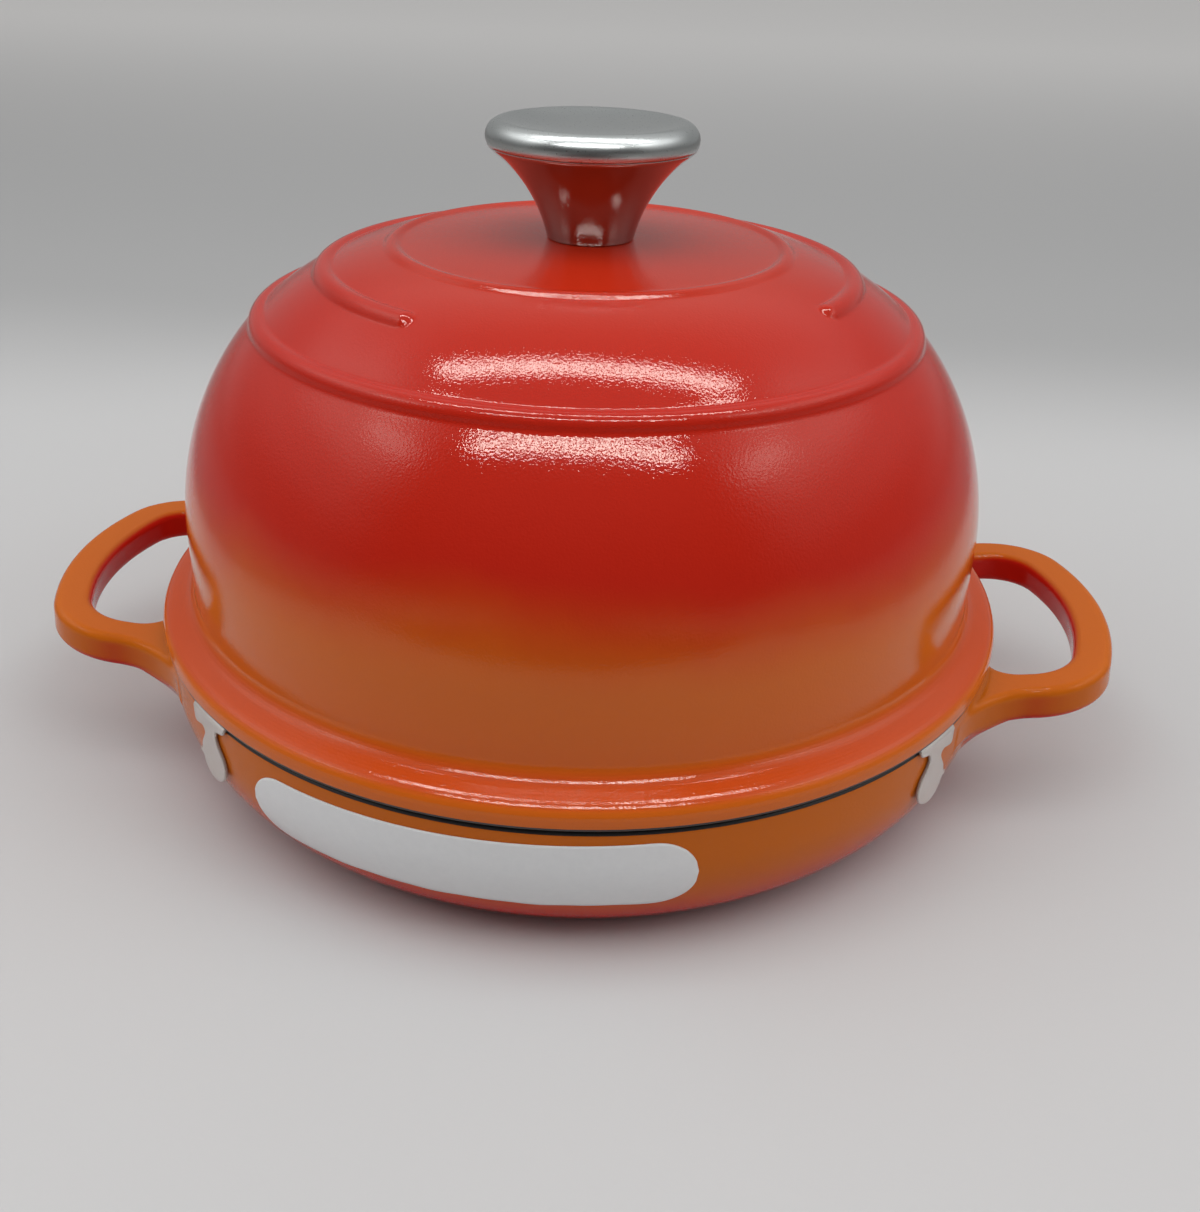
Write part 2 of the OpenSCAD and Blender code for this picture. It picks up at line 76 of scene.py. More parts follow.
lens = bpy.data.cameras.new("camera")
lens.sensor_fit = "HORIZONTAL"
lens.sensor_width = SENSOR
lens.lens = FOCAL_PX / PHOTO_W * SENSOR
lens.clip_start = 0.01
camera = bpy.data.objects.new("camera", lens)
basis = Matrix((cam_right, cam_up, -ahead)).transposed()
camera.matrix_world = Matrix.Translation(EYE) @ basis.to_4x4()
bpy.context.scene.collection.objects.link(camera)
bpy.context.scene.camera = camera
bpy.context.scene.view_settings.view_transform = "Standard"
print("lens, mm:", round(lens.lens, 2))

# %% [markdown]
# ## Sizes
#
# The solids and the looks share one set of sizes. They are written again here in millimetres,
# under the names that a potter or a founder would use, because the enamelled shapes are drawn
# from the same arcs as the castings and must stay inside them.

# %% Sizes of the castings, in millimetres
RIM_R, RIM_Z, WALL = 129.0, 43.0, 4.2
FOOT_IN, RIM_BAND, RIM_EDGE = 20.0, 9.5, 1.1
FLOOR_T, FOOT_W, FOOT_RECESS = 4.5, 14.0, 1.0
FOOT_R, BOWL_Z = RIM_R - FOOT_IN, RIM_Z - RIM_BAND
BOWL_R = (FOOT_IN**2 + BOWL_Z**2) / (2 * FOOT_IN)
BOWL_C = (RIM_R - BOWL_R, BOWL_Z)

LID_Z = 44.05
FLANGE_R, FLANGE_H, FLANGE_ROUND, FLANGE_FALL = 130.0, 7.0, 4.0, math.radians(14)
CHAMFER, DOME_FOOT_R, LID_WALL = 0.4, 5.0, 3.9
DOME_R, UPRIGHT_H, SHOULDER_R = 119.9, 31.0, 83.2
RIDGE_R, RIDGE_W, RIDGE_H = 123.046, 4.0, 3.0
OUTER_RING_R, OUTER_BEAD, BEAD_ABOVE_STEP = 97.0, 3.2, 1.0
SEAT_RISE, RING_GAP = 21.6, 37.9
CROWN_R, CROWN_DROP, LIP_RISE, SEAT_FALL = 74.0, 2.35, 1.3, 1.7
INNER_BEAD, INNER_RING_H = 3.0, 0.9
BEAD_X, BEAD_W, BEAD_H = 75.8, 6.4, 1.7
BEAD_GAP, LID_TURN = math.radians(93), math.radians(13)
HOLE_R, SEAT_FLAT_R = 3.5, 13.2


def meet(a, ra, b, rb):
    """Point at distance ra from a and rb from b, on the right of the way from a to b."""
    a, b = Vector(a), Vector(b)
    d = (b - a).length
    u = (b - a) / d
    along = (ra * ra - rb * rb + d * d) / (2 * d)
    off = math.sqrt(ra * ra - along * along)
    return a + along * u + off * Vector((u[1], -u[0]))


SHOULDER_X = DOME_R - SHOULDER_R
STEP_Z = UPRIGHT_H + math.sqrt(SHOULDER_R**2 - (OUTER_RING_R - SHOULDER_X) ** 2)
OUTER_BEAD_C = (OUTER_RING_R - OUTER_BEAD, STEP_Z + BEAD_ABOVE_STEP)
SEAT_Z = OUTER_BEAD_C[1] + SEAT_RISE
SEAT_EDGE_Z = SEAT_Z - SEAT_FALL
INNER_BEAD_C = (OUTER_BEAD_C[0] - RING_GAP, SEAT_EDGE_Z + INNER_RING_H - INNER_BEAD)
SEAT_DOME_R = (INNER_BEAD_C[0] ** 2 + SEAT_FALL**2) / (2 * SEAT_FALL)
SEAT_C = (0.0, SEAT_Z - SEAT_DOME_R)
CROWN_C = meet(
    (INNER_BEAD_C[0] + INNER_BEAD, SEAT_Z - CROWN_DROP), CROWN_R,
    (OUTER_BEAD_C[0], OUTER_BEAD_C[1] + OUTER_BEAD - LIP_RISE), CROWN_R,
)
print("crown centre, mm:", [round(v, 2) for v in CROWN_C], "seat:", round(SEAT_Z, 2))

# %% [markdown]
# ## Outlines that flow like glaze
#
# A glazed casting has no sharp corner: the enamel fills every valley and thins over every edge.
# Each outline is therefore laid down as plain arcs and straight lines, and then softened along
# its own length with a bell curve. That rounds all corners at once by the same amount, which is
# just what a coat of glass does. Points that the curve no longer needs are dropped again.

# %% Outline helpers
OUTLINE_STEP = 0.25


def arc(centre, r, start, end):
    """Points on an arc, angles in degrees, spaced closely enough for the softening."""
    count = max(4, int(abs(math.radians(end - start)) * r / OUTLINE_STEP))
    angles = np.radians(np.linspace(start, end, count))
    return [(centre[0] + r * math.cos(a), centre[1] + r * math.sin(a)) for a in angles]


def spaced(points, step):
    """The same outline with its points a step apart."""
    pts = np.array(points, float)
    run = np.concatenate(([0], np.cumsum(np.hypot(*np.diff(pts, axis=0).T))))
    at = np.linspace(0, run[-1], int(run[-1] / step) + 1)
    return np.column_stack([np.interp(at, run, pts[:, k]) for k in (0, 1)])


def glazed(points, soften):
    """Softens an open outline along its length and keeps its two ends."""
    pts = spaced(points, OUTLINE_STEP)
    reach = int(4 * soften / OUTLINE_STEP)
    bell = np.exp(-0.5 * (np.arange(-reach, reach + 1) * OUTLINE_STEP / soften) ** 2)
    bell /= bell.sum()
    head = 2 * pts[0] - pts[reach:0:-1]
    tail = 2 * pts[-1] - pts[-2 : -reach - 2 : -1]
    padded = np.vstack([head, pts, tail])
    return np.column_stack([np.convolve(padded[:, k], bell, "valid") for k in (0, 1)])


def thinned(pts, most_turn=3.0, most_gap=3.0, fine_at=None):
    """Drops points until each remaining one marks a turn or a gap worth keeping. Near the place
    fine_at = (x, z, reach) all points stay."""
    kept, turn = [0], 0.0
    step = np.diff(pts, axis=0)
    heading = np.degrees(np.unwrap(np.arctan2(step[:, 1], step[:, 0])))
    for i in range(1, len(pts) - 1):
        turn += abs(heading[i] - heading[i - 1])
        gap = np.hypot(*(pts[i] - pts[kept[-1]]))
        fine = fine_at is not None and math.dist(pts[i], fine_at[:2]) < fine_at[2]
        if turn >= most_turn or gap >= most_gap or fine:
            kept.append(i)
            turn = 0.0
    kept.append(len(pts) - 1)
    return pts[kept]


# %% [markdown]
# ## Turning an outline round the axis
#
# Blender has a Screw modifier and a Spin tool for turned work. Writing the ring of points out by
# hand is as short, and it lets the middle bead rise out of the lid along only part of the turn.
# A turned piece may use several materials, so each stretch of the outline names its own.

# %% Turned pieces
FULL_TURN = 2 * math.pi


def new_piece(name, verts, faces, materials, face_material=None):
    """A smooth shaded mesh object, from points in millimetres."""
    mesh = bpy.data.meshes.new(name)
    mesh.from_pydata((np.asarray(verts) * MM).tolist(), [], faces)
    for material in materials:
        mesh.materials.append(material)
    mesh.polygons.foreach_set("use_smooth", [True] * len(mesh.polygons))
    if face_material is not None:
        mesh.polygons.foreach_set("material_index", face_material)
    mesh.update()
    mesh.validate()
    piece = bpy.data.objects.new(name, mesh)
    bpy.context.scene.collection.objects.link(piece)
    print(name, "has", len(mesh.vertices), "points and", len(mesh.polygons), "faces")
    return piece


def turned_mesh(outline, angles, stretch, closed, lift=None):
    """Points, faces and face materials of an outline turned round Z. Outlines run with the
    solid on their left. lift(x, z, angle) gives the points that rise from the outline."""
    n, m = len(outline), len(angles)
    x, z = outline[:, 0][None, :], outline[:, 1][None, :]
    a = np.asarray(angles)[:, None]
    if lift is not None:
        x, z = lift(x, z, a)
    x, z = np.broadcast_to(x, (m, n)), np.broadcast_to(z, (m, n))
    verts = np.stack([x * np.cos(a), x * np.sin(a), z], axis=2).reshape(-1, 3)
    faces, tags = [], []
    last = n if closed else n - 1
    for j in range(m):
        k = (j + 1) % m
        for i in range(last):
            p, q = i, (i + 1) % n
            corners = [j * n + p, k * n + p, k * n + q, j * n + q]
            if outline[p][0] < 1e-6:
                corners = [p, k * n + q, j * n + q]
            elif outline[q][0] < 1e-6:
                corners = [j * n + p, k * n + p, q]
            faces.append(corners)
            tags.append(stretch[i])
    return verts, faces, tags


def even_turn(count):
    """Angles of a full turn in equal steps."""
    return np.arange(count) * FULL_TURN / count


def cleaned(verts, faces):
    """Drops the points that no face uses, such as spare copies of a pole."""
    used = np.unique(np.concatenate([np.asarray(f) for f in faces]))
    place = np.full(len(verts), -1)
    place[used] = np.arange(len(used))
    return np.asarray(verts)[used], [[int(place[v]) for v in f] for f in faces]


# %% [markdown]
# ## Finishes
#
# All the finishes are node materials. A few small helpers keep them readable: one adds a node and
# sets its inputs, one maps a value smoothly between two limits, and one lays a bump on the
# surface. Anything that is the same all over a piece is set on the shader itself.

# %% Node helpers
def new_material(name):
    """An empty node material and its Principled shader."""
    material = bpy.data.materials.new(name)
    material.use_nodes = True
    shader = material.node_tree.nodes["Principled BSDF"]
    return material, material.node_tree, shader


def add(tree, kind, inputs=None, **settings):
    """A node with its settings; an input is a constant or another node's socket."""
    node = tree.nodes.new(kind)
    for key, value in settings.items():
        setattr(node, key, value)
    for key, value in (inputs or {}).items():
        if isinstance(value, bpy.types.NodeSocket):
            tree.links.new(value, node.inputs[key])
        else:
            node.inputs[key].default_value = value
    return node


def maths(tree, operation, a, b=0.0):
    """The result of one sum; a and b are numbers or sockets."""
    return add(tree, "ShaderNodeMath", {0: a, 1: b}, operation=operation).outputs[0]


def eased(tree, value, low, high):
    """0 below low, 1 above high, and a smooth step between them. low may exceed high."""
    node = add(
        tree, "ShaderNodeMapRange",
        {"Value": value, "From Min": low, "From Max": high},
        interpolation_type="SMOOTHSTEP",
    )
    return node.outputs["Result"]


def noise(tree, place, scale, detail=2.0, rough=0.5):
    """A noise value between about 0.2 and 0.8; scale is in turns per metre."""
    node = add(
        tree, "ShaderNodeTexNoise",
        {"Vector": place, "Scale": scale, "Detail": detail, "Roughness": rough},
    )
    return node.outputs["Fac"]


def mixed(tree, share, a, b):
    """A colour between a and b."""
    node = add(tree, "ShaderNodeMix", data_type="RGBA")
    for index, value in ((0, share), (6, a), (7, b)):
        if isinstance(value, bpy.types.NodeSocket):
            tree.links.new(value, node.inputs[index])
        else:
            node.inputs[index].default_value = value
    return node.outputs[2]


def object_place(tree):
    """Place in the object's own metres, with its three parts."""
    place = add(tree, "ShaderNodeTexCoord").outputs["Object"]
    return place, *add(tree, "ShaderNodeSeparateXYZ", {0: place}).outputs


def from_axis(tree, x, y):
    """Distance from the upright axis."""
    return maths(tree, "SQRT", maths(tree, "ADD", maths(tree, "MULTIPLY", x, x),
                                     maths(tree, "MULTIPLY", y, y)))


def bumped(tree, shader, height, distance, under=None):
    """Gives the shader a bump; under is a coarser bump that this one lies on."""
    bump = add(tree, "ShaderNodeBump", {"Height": height, "Strength": 1.0, "Distance": distance})
    if under is not None:
        tree.links.new(under.outputs[0], bump.inputs["Normal"])
    tree.links.new(bump.outputs[0], shader.inputs["Normal"])
    return bump


# %% [markdown]
# ## Enamel in two colours
#
# The enamel is sprayed. On the lid the red of the crown fades to orange down the dome, and the
# flange is orange with a red bloom on its top. On the pan the orange comes from above and
# outside, so whatever faces in or down stays red. The fade is worked out from height and from
# the way the surface faces, with a slow noise that makes it as uneven as a hand-held spray gun.
#
# Fired enamel is glass: clear, hard and nearly flat, but with a fine orange peel. The peel is two
# scales of noise in the bump. The flange also keeps faint rings from the turning of its mould,
# which break a lamp's reflection into lines.

# %% Enamel materials
RED = (0.520, 0.0185, 0.0075, 1)
DEEP_RED = (0.580, 0.0150, 0.0085, 1)
LID_ORANGE = (0.640, 0.1260, 0.0090, 1)
PAN_ORANGE = (0.575, 0.1290, 0.0080, 1)
ENAMEL_GLOSS, LID_IOR, PAN_IOR = 0.05, 1.40, 1.25
FINE_PEEL, BROAD_PEEL = (1600.0, 0.000046), (150.0, 0.000030)
RED_FADE, CROWN_UP, CROWN_IN = (0.074, 0.104), (0.1240, 0.1340), (0.0880, 0.0500)
FLANGE_LOW, FLANGE_IN, RIDGED_LOW = (0.0560, 0.0525), (0.1297, 0.1282), (0.0560, 0.0540)
# The first number below is a painted reflection: how far the crown's top is shifted to orange.
PAINTED_CROWN_REFLECTION, FLANGE_BLOOM = 0.07, 0.52
RIDGE_PITCH, RIDGE_RISE = 0.0014, 0.000006
SPRAY_OUT, SPRAY_DOWN, SPRAY_FADE = 0.55, 0.83, (0.52, -0.16)


def glass_skin(tree, shader, place, ior):
    """The gloss and the orange peel of fired enamel; gives the finer bump."""
    shader.inputs["Roughness"].default_value = ENAMEL_GLOSS
    shader.inputs["IOR"].default_value = ior
    shader.inputs["Specular Tint"].default_value = (1.0, 0.97, 0.88, 1)
    swell = bumped(tree, shader, noise(tree, place, BROAD_PEEL[0], 1.0), BROAD_PEEL[1])
    return bumped(tree, shader, noise(tree, place, FINE_PEEL[0], 1.0), FINE_PEEL[1], swell)


def uneven(tree, place, value, amount):
    """A value with a slow cloud added to it."""
    cloud = maths(tree, "SUBTRACT", noise(tree, place, 22.0, 3.0), 0.5)
    return maths(tree, "ADD", value, maths(tree, "MULTIPLY", cloud, amount))


def sprayed_lid_enamel():
    """Red on the dome, orange below it, a painted warm reflection on the crown's top, and a red bloom
    on the flange's top.
    """
    material, tree, shader = new_material("lid_enamel")
    place, x, y, z = object_place(tree)
    radius = from_axis(tree, x, y)
    red = eased(tree, uneven(tree, place, z, 0.016), *RED_FADE)
    # Painted reflection: the crown's top is shifted towards orange and stands in for the warm tint of
    # the bright roof mirrored there.
    crown_reflection_mask = maths(tree, "MULTIPLY", eased(tree, z, *CROWN_UP), eased(tree, radius, *CROWN_IN))
    red = maths(tree, "SUBTRACT", red, maths(tree, "MULTIPLY", crown_reflection_mask, PAINTED_CROWN_REFLECTION))
    on_flange = maths(tree, "MULTIPLY", eased(tree, z, *FLANGE_LOW), eased(tree, radius, *FLANGE_IN))
    bloom = maths(tree, "MULTIPLY", on_flange, FLANGE_BLOOM)
    colour = mixed(tree, maths(tree, "MAXIMUM", red, bloom), LID_ORANGE, RED)
    tree.links.new(colour, shader.inputs["Base Color"])
    peel = glass_skin(tree, shader, place, LID_IOR)
    run = maths(tree, "MULTIPLY", maths(tree, "SUBTRACT", radius, z), 2 * math.pi / RIDGE_PITCH)
    ridges = maths(tree, "MULTIPLY", maths(tree, "SINE", run), eased(tree, z, *RIDGED_LOW))
    bumped(tree, shader, ridges, RIDGE_RISE, peel)
    return material


def sprayed_pan_enamel():
    """Orange where the spray from above and outside lands, and red elsewhere."""
    material, tree, shader = new_material("pan_enamel")
    place, x, y, z = object_place(tree)
    facing = add(tree, "ShaderNodeNewGeometry").outputs["Normal"]
    flat = add(tree, "ShaderNodeCombineXYZ", {0: x, 1: y, 2: 0.0}).outputs[0]
    outward = add(tree, "ShaderNodeVectorMath", {0: flat}, operation="NORMALIZE").outputs[0]
    spray = add(tree, "ShaderNodeVectorMath", {0: outward, 1: (SPRAY_OUT,) * 3},
                operation="MULTIPLY").outputs[0]
    spray = add(tree, "ShaderNodeVectorMath", {0: spray, 1: (0.0, 0.0, SPRAY_DOWN)}).outputs[0]
    caught = add(tree, "ShaderNodeVectorMath", {0: facing, 1: spray},
                 operation="DOT_PRODUCT").outputs["Value"]
    red = eased(tree, uneven(tree, place, caught, 0.35), *SPRAY_FADE)
    colour = mixed(tree, red, PAN_ORANGE, DEEP_RED)
    tree.links.new(colour, shader.inputs["Base Color"])
    glass_skin(tree, shader, place, PAN_IOR)
    return material


def matte_black_enamel():
    """The unglossed black lining of both castings, faintly pitted."""
    material, tree, shader = new_material("black_lining")
    place = object_place(tree)[0]
    shader.inputs["Roughness"].default_value = 0.42
    shader.inputs["IOR"].default_value = 1.5
    speck = noise(tree, place, 900.0, 3.0, 0.7)
    colour = mixed(tree, speck, (0.010, 0.010, 0.011, 1), (0.030, 0.029, 0.028, 1))
    tree.links.new(colour, shader.inputs["Base Color"])
    bumped(tree, shader, speck, 0.00003)
    return material


lid_enamel = sprayed_lid_enamel()
pan_enamel = sprayed_pan_enamel()
black_lining = matte_black_enamel()
print("enamels:", lid_enamel.name, pan_enamel.name, black_lining.name)

# %% [markdown]
# ## The pan's bowl
#
# The bowl is one turned casting: a foot ring, a wall that curves up to an upright band, and a
# rounded rim. Its lining is black from the rim's outer rounding inwards. Three hundred steps
# round the turn keep the rim's outline clean in a close view.

# %% Turn the bowl
BOWL_STEPS = 300
SOFT_PAN = 0.55

inner_r = BOWL_R - WALL
floor_turn = math.degrees(math.asin((BOWL_C[1] - FLOOR_T) / inner_r))
foot_turn = math.degrees(math.asin(BOWL_C[1] / BOWL_R))
bowl_outside = (
    [(0, FOOT_RECESS), (FOOT_R - FOOT_W, FOOT_RECESS), (FOOT_R - FOOT_W, 0), (FOOT_R, 0)]
    + arc(BOWL_C, BOWL_R, -foot_turn, 0)
    + arc((RIM_R - RIM_EDGE, RIM_Z - RIM_EDGE), RIM_EDGE, 0, 90)
)
bowl_inside = (
    arc((RIM_R - WALL + RIM_EDGE, RIM_Z - RIM_EDGE), RIM_EDGE, 90, 180)
    + arc(BOWL_C, inner_r, 0, -floor_turn)
    + [(0, FLOOR_T)]
)
bowl_outline = thinned(glazed(bowl_outside + bowl_inside, SOFT_PAN))
bowl_outline[0][0] = bowl_outline[-1][0] = 0
rim_at = int(np.argmax(bowl_outline[:, 1] > RIM_Z - RIM_EDGE))
bowl_stretch = [0 if i < rim_at else 1 for i in range(len(bowl_outline))]
bowl_verts, bowl_faces, bowl_tags = turned_mesh(
    bowl_outline, even_turn(BOWL_STEPS), bowl_stretch, closed=False
)
bowl_verts, bowl_faces = cleaned(bowl_verts, bowl_faces)
print("bowl outline has", len(bowl_outline), "points")

# %% [markdown]
# ## The loop handles
#
# Each handle is cast with the bowl: a flat bar in a bow, which flares into the wall through wide
# fillets. Sweeping a section along the bow gives the bar, but not the flare. A distance field
# gives both: the plan of the bow is joined to the plan of the wall with a round fillet, the
# result is given its height and its rounded edges, and a second fillet runs under the arms. Behind
# the roots, only a thin skin of the wall is kept, so nothing shows inside the bowl.
# OpenVDB turns the field into a mesh, and each point is then moved onto the exact surface, so the
# mirror-like enamel shows no trace of the grid.

# %% Distance field helpers
def joined_round(a, b, r):
    """Union of two fields with a fillet of radius r."""
    return np.maximum(r, np.minimum(a, b)) - np.hypot(np.maximum(r - a, 0), np.maximum(r - b, 0))


def cut_round(a, b, r):
    """Intersection of two fields with a rounded edge of radius r."""
    return np.minimum(-r, np.maximum(a, b)) + np.hypot(np.maximum(r + a, 0), np.maximum(r + b, 0))


def stepped(t):
    """A smooth step from 0 to 1."""
    t = np.clip(t, 0, 1)
    return t * t * (3 - 2 * t)


def field_mesh(field, lo, hi, voxel):
    """Mesh of field(x, y, z) = 0 inside a box; points are then drawn onto the exact surface."""
    counts = [int((h - l) / voxel) + 2 for l, h in zip(lo, hi)]
    axes = [l + voxel * np.arange(c) for l, c in zip(lo, counts)]
    values = field(*np.meshgrid(*axes, indexing="ij"))
    grid = openvdb.FloatGrid(float(values.max()))
    grid.copyFromArray(values.astype(np.float32))
    points, quads = grid.convertToQuads()
    points = points.astype(float) * voxel + np.array(lo)
    tiny = voxel / 20
    for _ in range(4):
        value = field(*points.T)
        slope = np.stack([
            (field(*(points + tiny * e).T) - field(*(points - tiny * e).T)) / (2 * tiny)
            for e in np.eye(3)
        ], axis=1)
        size = np.maximum((slope**2).sum(1), 0.2)
        points -= np.clip(value / size, -voxel, voxel)[:, None] * slope
    return points, quads[:, ::-1].astype(int)


# %% Shape a handle
HANDLE_L, HANDLE_SPAN, BAR_W, BAR_H, BAR_EDGE = 38.5, 100.6, 11.4, 10.5, 2.6
BOW_R, CORNER_R = 99.0, 26.5
ROOT_OUTER_R, ROOT_INNER_R, ROOT_UNDER_R, ROOT_TOP_R = 15.0, 11.0, 11.0, 1.2
UNDER_REACH = 9.0
HANDLE_TILT, HANDLE_DROP = math.radians(6.6), 0.8
SKIN_SINK, SKIN_FADE, SKIN_DEPTH = 0.03, 0.8, 2.2
SKIN_X, SKIN_Y, SKIN_Z, FADE_L = 90.0, 70.0, 14.0, 4.0
HANDLE_VOXEL, HANDLE_TOP = 0.7, 50.0

bow_x = RIM_R + HANDLE_L - BOW_R
corner_y = HANDLE_SPAN / 2 - CORNER_R
corner_x = bow_x + math.sqrt((BOW_R - CORNER_R) ** 2 - corner_y**2)
arm_y = (HANDLE_SPAN - BAR_W) / 2
bar_mid_z = RIM_Z - HANDLE_DROP - BAR_H / 2


def bow_plan(x, y):
    """Distance in plan from the bar's sides: a bow, two corners and two arms."""
    y = np.abs(y)
    bow = np.abs(np.hypot(x - bow_x, y) - (BOW_R - BAR_W / 2))
    corner = np.abs(np.hypot(x - corner_x, y - corner_y) - (CORNER_R - BAR_W / 2))
    arm = np.abs(y - arm_y)
    in_bow = np.arctan2(y, x - bow_x) < math.atan2(corner_y, corner_x - bow_x)
    line = np.where(x < corner_x, arm, np.where(in_bow, bow, corner))
    return line - BAR_W / 2


def wall_side(x, y, z):
    """Distance outside the bowl's wall, as if it had no rim."""
    r = np.hypot(x, y)
    return np.where(z > BOWL_C[1], r - RIM_R, np.hypot(r - BOWL_C[0], z - BOWL_C[1]) - BOWL_R)


def handle_field(x, y, z):
    """The right handle with its flared roots, and a thin skin of the wall behind it."""
    c, s = math.cos(HANDLE_TILT), math.sin(HANDLE_TILT)
    u = RIM_R + (x - RIM_R) * c + (z - bar_mid_z) * s
    w = (z - bar_mid_z) * c - (x - RIM_R) * s
    plan, side = bow_plan(u, y), wall_side(x, y, z)
    root_r = np.where(np.abs(y) > arm_y, ROOT_OUTER_R, ROOT_INNER_R)
    flare = np.maximum(joined_round(plan, side, root_r), plan - root_r)
    bar = cut_round(flare, np.abs(w) - BAR_H / 2, BAR_EDGE)
    wall = cut_round(side, z - RIM_Z, RIM_EDGE + SOFT_PAN)
    under = stepped(-w / (BAR_H / 2)) * stepped(1 - plan / UNDER_REACH)
    whole = joined_round(bar, wall, ROOT_TOP_R + (ROOT_UNDER_R - ROOT_TOP_R) * under)
    away = stepped((np.abs(y) - SKIN_Y) / FADE_L + 1) + stepped((SKIN_Z - z) / FADE_L + 1)
    solid = np.maximum(whole + SKIN_SINK + SKIN_FADE * away, -(side + SKIN_DEPTH))
    return np.maximum(solid, np.maximum(np.abs(y) - SKIN_Y, SKIN_Z - z))


handle_lo = (SKIN_X, -SKIN_Y - 1, SKIN_Z - 1)
handle_hi = (RIM_R + HANDLE_L + 2, SKIN_Y + 1, HANDLE_TOP)
handle_verts, handle_quads = field_mesh(handle_field, handle_lo, handle_hi, HANDLE_VOXEL)
print("a handle has", len(handle_verts), "points")

# %% [markdown]
# ## One casting
#
# Bowl and handles are one piece of iron, so they become one object. The left handle is the right
# one turned half way round. The handles' meshes end inside the wall, where nobody sees them.

# %% Join the bowl and the handles
half_turn = np.array([-1, -1, 1])
pan_verts = np.vstack([bowl_verts, handle_verts, handle_verts * half_turn])
first = len(bowl_verts)
second = first + len(handle_verts)
pan_faces = bowl_faces + (handle_quads + first).tolist() + (handle_quads + second).tolist()
pan_tags = bowl_tags + [0] * (2 * len(handle_quads))
pan = new_piece("enamelled_base", pan_verts, pan_faces, [pan_enamel, black_lining], pan_tags)
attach(pan, "base")
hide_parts("pan_base")

# %% [markdown]
# ## The domed lid
#
# The lid is turned as well: flange, upright wall, shoulder, a raised outer ring, a crown and a
# low ring round the knob's seat. The middle bead runs only part of the way round, so it isn't in
# the outline. It is lifted out of the crown: each point near the bead's line rises by the height
# of a low round cap, and beyond the line's two ends the distance is taken from the end itself,
# which rounds them. The turn has extra steps there.

# %% Outline of the lid
SOFT_LID = 0.6

edge_c = (FLANGE_R - FLANGE_ROUND, FLANGE_H - FLANGE_ROUND)
fall = Vector((math.sin(FLANGE_FALL), math.cos(FLANGE_FALL)))
slope_top = Vector(edge_c) + FLANGE_ROUND * fall
foot_x = DOME_R + DOME_FOOT_R
foot_z = slope_top[1] + (slope_top[0] - foot_x) * math.tan(FLANGE_FALL) + DOME_FOOT_R / fall[1]
foot_c = (foot_x, foot_z)
shoulder_c = (SHOULDER_X, UPRIGHT_H)
step_turn = math.degrees(math.acos((OUTER_RING_R - SHOULDER_X) / SHOULDER_R))


def crossing(c1, r1, c2, r2, upper):
    """Where two circles cross: the upper or the lower of the two points."""
    ends = [meet(c1, r1, c2, r2), meet(c2, r2, c1, r1)]
    return sorted(ends, key=lambda p: p[1])[1 if upper else 0]


def angle_at(centre, point):
    """Direction from a centre to a point, in degrees."""
    return math.degrees(math.atan2(point[1] - centre[1], point[0] - centre[0]))


groove = crossing(OUTER_BEAD_C, OUTER_BEAD, CROWN_C, CROWN_R, upper=True)
inner_foot = crossing(INNER_BEAD_C, INNER_BEAD, CROWN_C, CROWN_R, upper=False)
seat_foot = crossing(INNER_BEAD_C, INNER_BEAD, SEAT_C, SEAT_DOME_R, upper=True)
seat_flat_turn = 90 - math.degrees(math.asin(SEAT_FLAT_R / SEAT_DOME_R))
lid_outside = (
    [(FLANGE_R - CHAMFER, 0), (FLANGE_R, CHAMFER)]
    + arc(edge_c, FLANGE_ROUND, 0, 90 - math.degrees(FLANGE_FALL))
    + arc(foot_c, DOME_FOOT_R, 270 - math.degrees(FLANGE_FALL), 180)
    + arc(shoulder_c, SHOULDER_R, 0, step_turn)
    + arc(OUTER_BEAD_C, OUTER_BEAD, 0, angle_at(OUTER_BEAD_C, groove))
    + arc(CROWN_C, CROWN_R, angle_at(CROWN_C, groove), angle_at(CROWN_C, inner_foot))
    + arc(INNER_BEAD_C, INNER_BEAD, angle_at(INNER_BEAD_C, inner_foot),
          angle_at(INNER_BEAD_C, seat_foot))
    + arc(SEAT_C, SEAT_DOME_R, angle_at(SEAT_C, seat_foot), seat_flat_turn)
    + [(SEAT_FLAT_R, SEAT_Z), (HOLE_R, SEAT_Z)]
)
ceiling_z = SEAT_EDGE_Z - LID_WALL
dome_inner_r, crown_inner_r = SHOULDER_R - LID_WALL, CROWN_R - LID_WALL
ceiling_turn = math.degrees(math.asin((ceiling_z - CROWN_C[1]) / crown_inner_r))
inner_step = crossing(CROWN_C, crown_inner_r, shoulder_c, dome_inner_r, upper=True)
lid_inside = (
    [(HOLE_R, SEAT_Z), (HOLE_R, ceiling_z)]
    + arc(CROWN_C, crown_inner_r, ceiling_turn, angle_at(CROWN_C, inner_step))
    + arc(shoulder_c, dome_inner_r, angle_at(shoulder_c, inner_step), 0)
    + [(DOME_R - LID_WALL, 0), (RIDGE_R - RIDGE_W, 0), (RIDGE_R - RIDGE_W, -RIDGE_H),
       (RIDGE_R, -RIDGE_H), (RIDGE_R, 0), (FLANGE_R - CHAMFER, 0)]
)
bead_up = Vector((BEAD_X - CROWN_C[0], math.sqrt(CROWN_R**2 - (BEAD_X - CROWN_C[0]) ** 2)))
bead_foot = Vector(CROWN_C) + bead_up
outside_pts = thinned(glazed(lid_outside, SOFT_LID), most_gap=1.6, fine_at=(*bead_foot, BEAD_W))
inside_pts = thinned(glazed(lid_inside, SOFT_LID / 2), most_turn=8.0, most_gap=6.0)
lid_outline = np.vstack([outside_pts[:-1], inside_pts[:-1]]) + (0, LID_Z)
under_edge = outside_pts[:-1, 1] < 2 * CHAMFER
lid_stretch = np.where(under_edge, 1, 0).tolist() + [1] * (len(inside_pts) - 1)
print("lid outline has", len(lid_outline), "points")

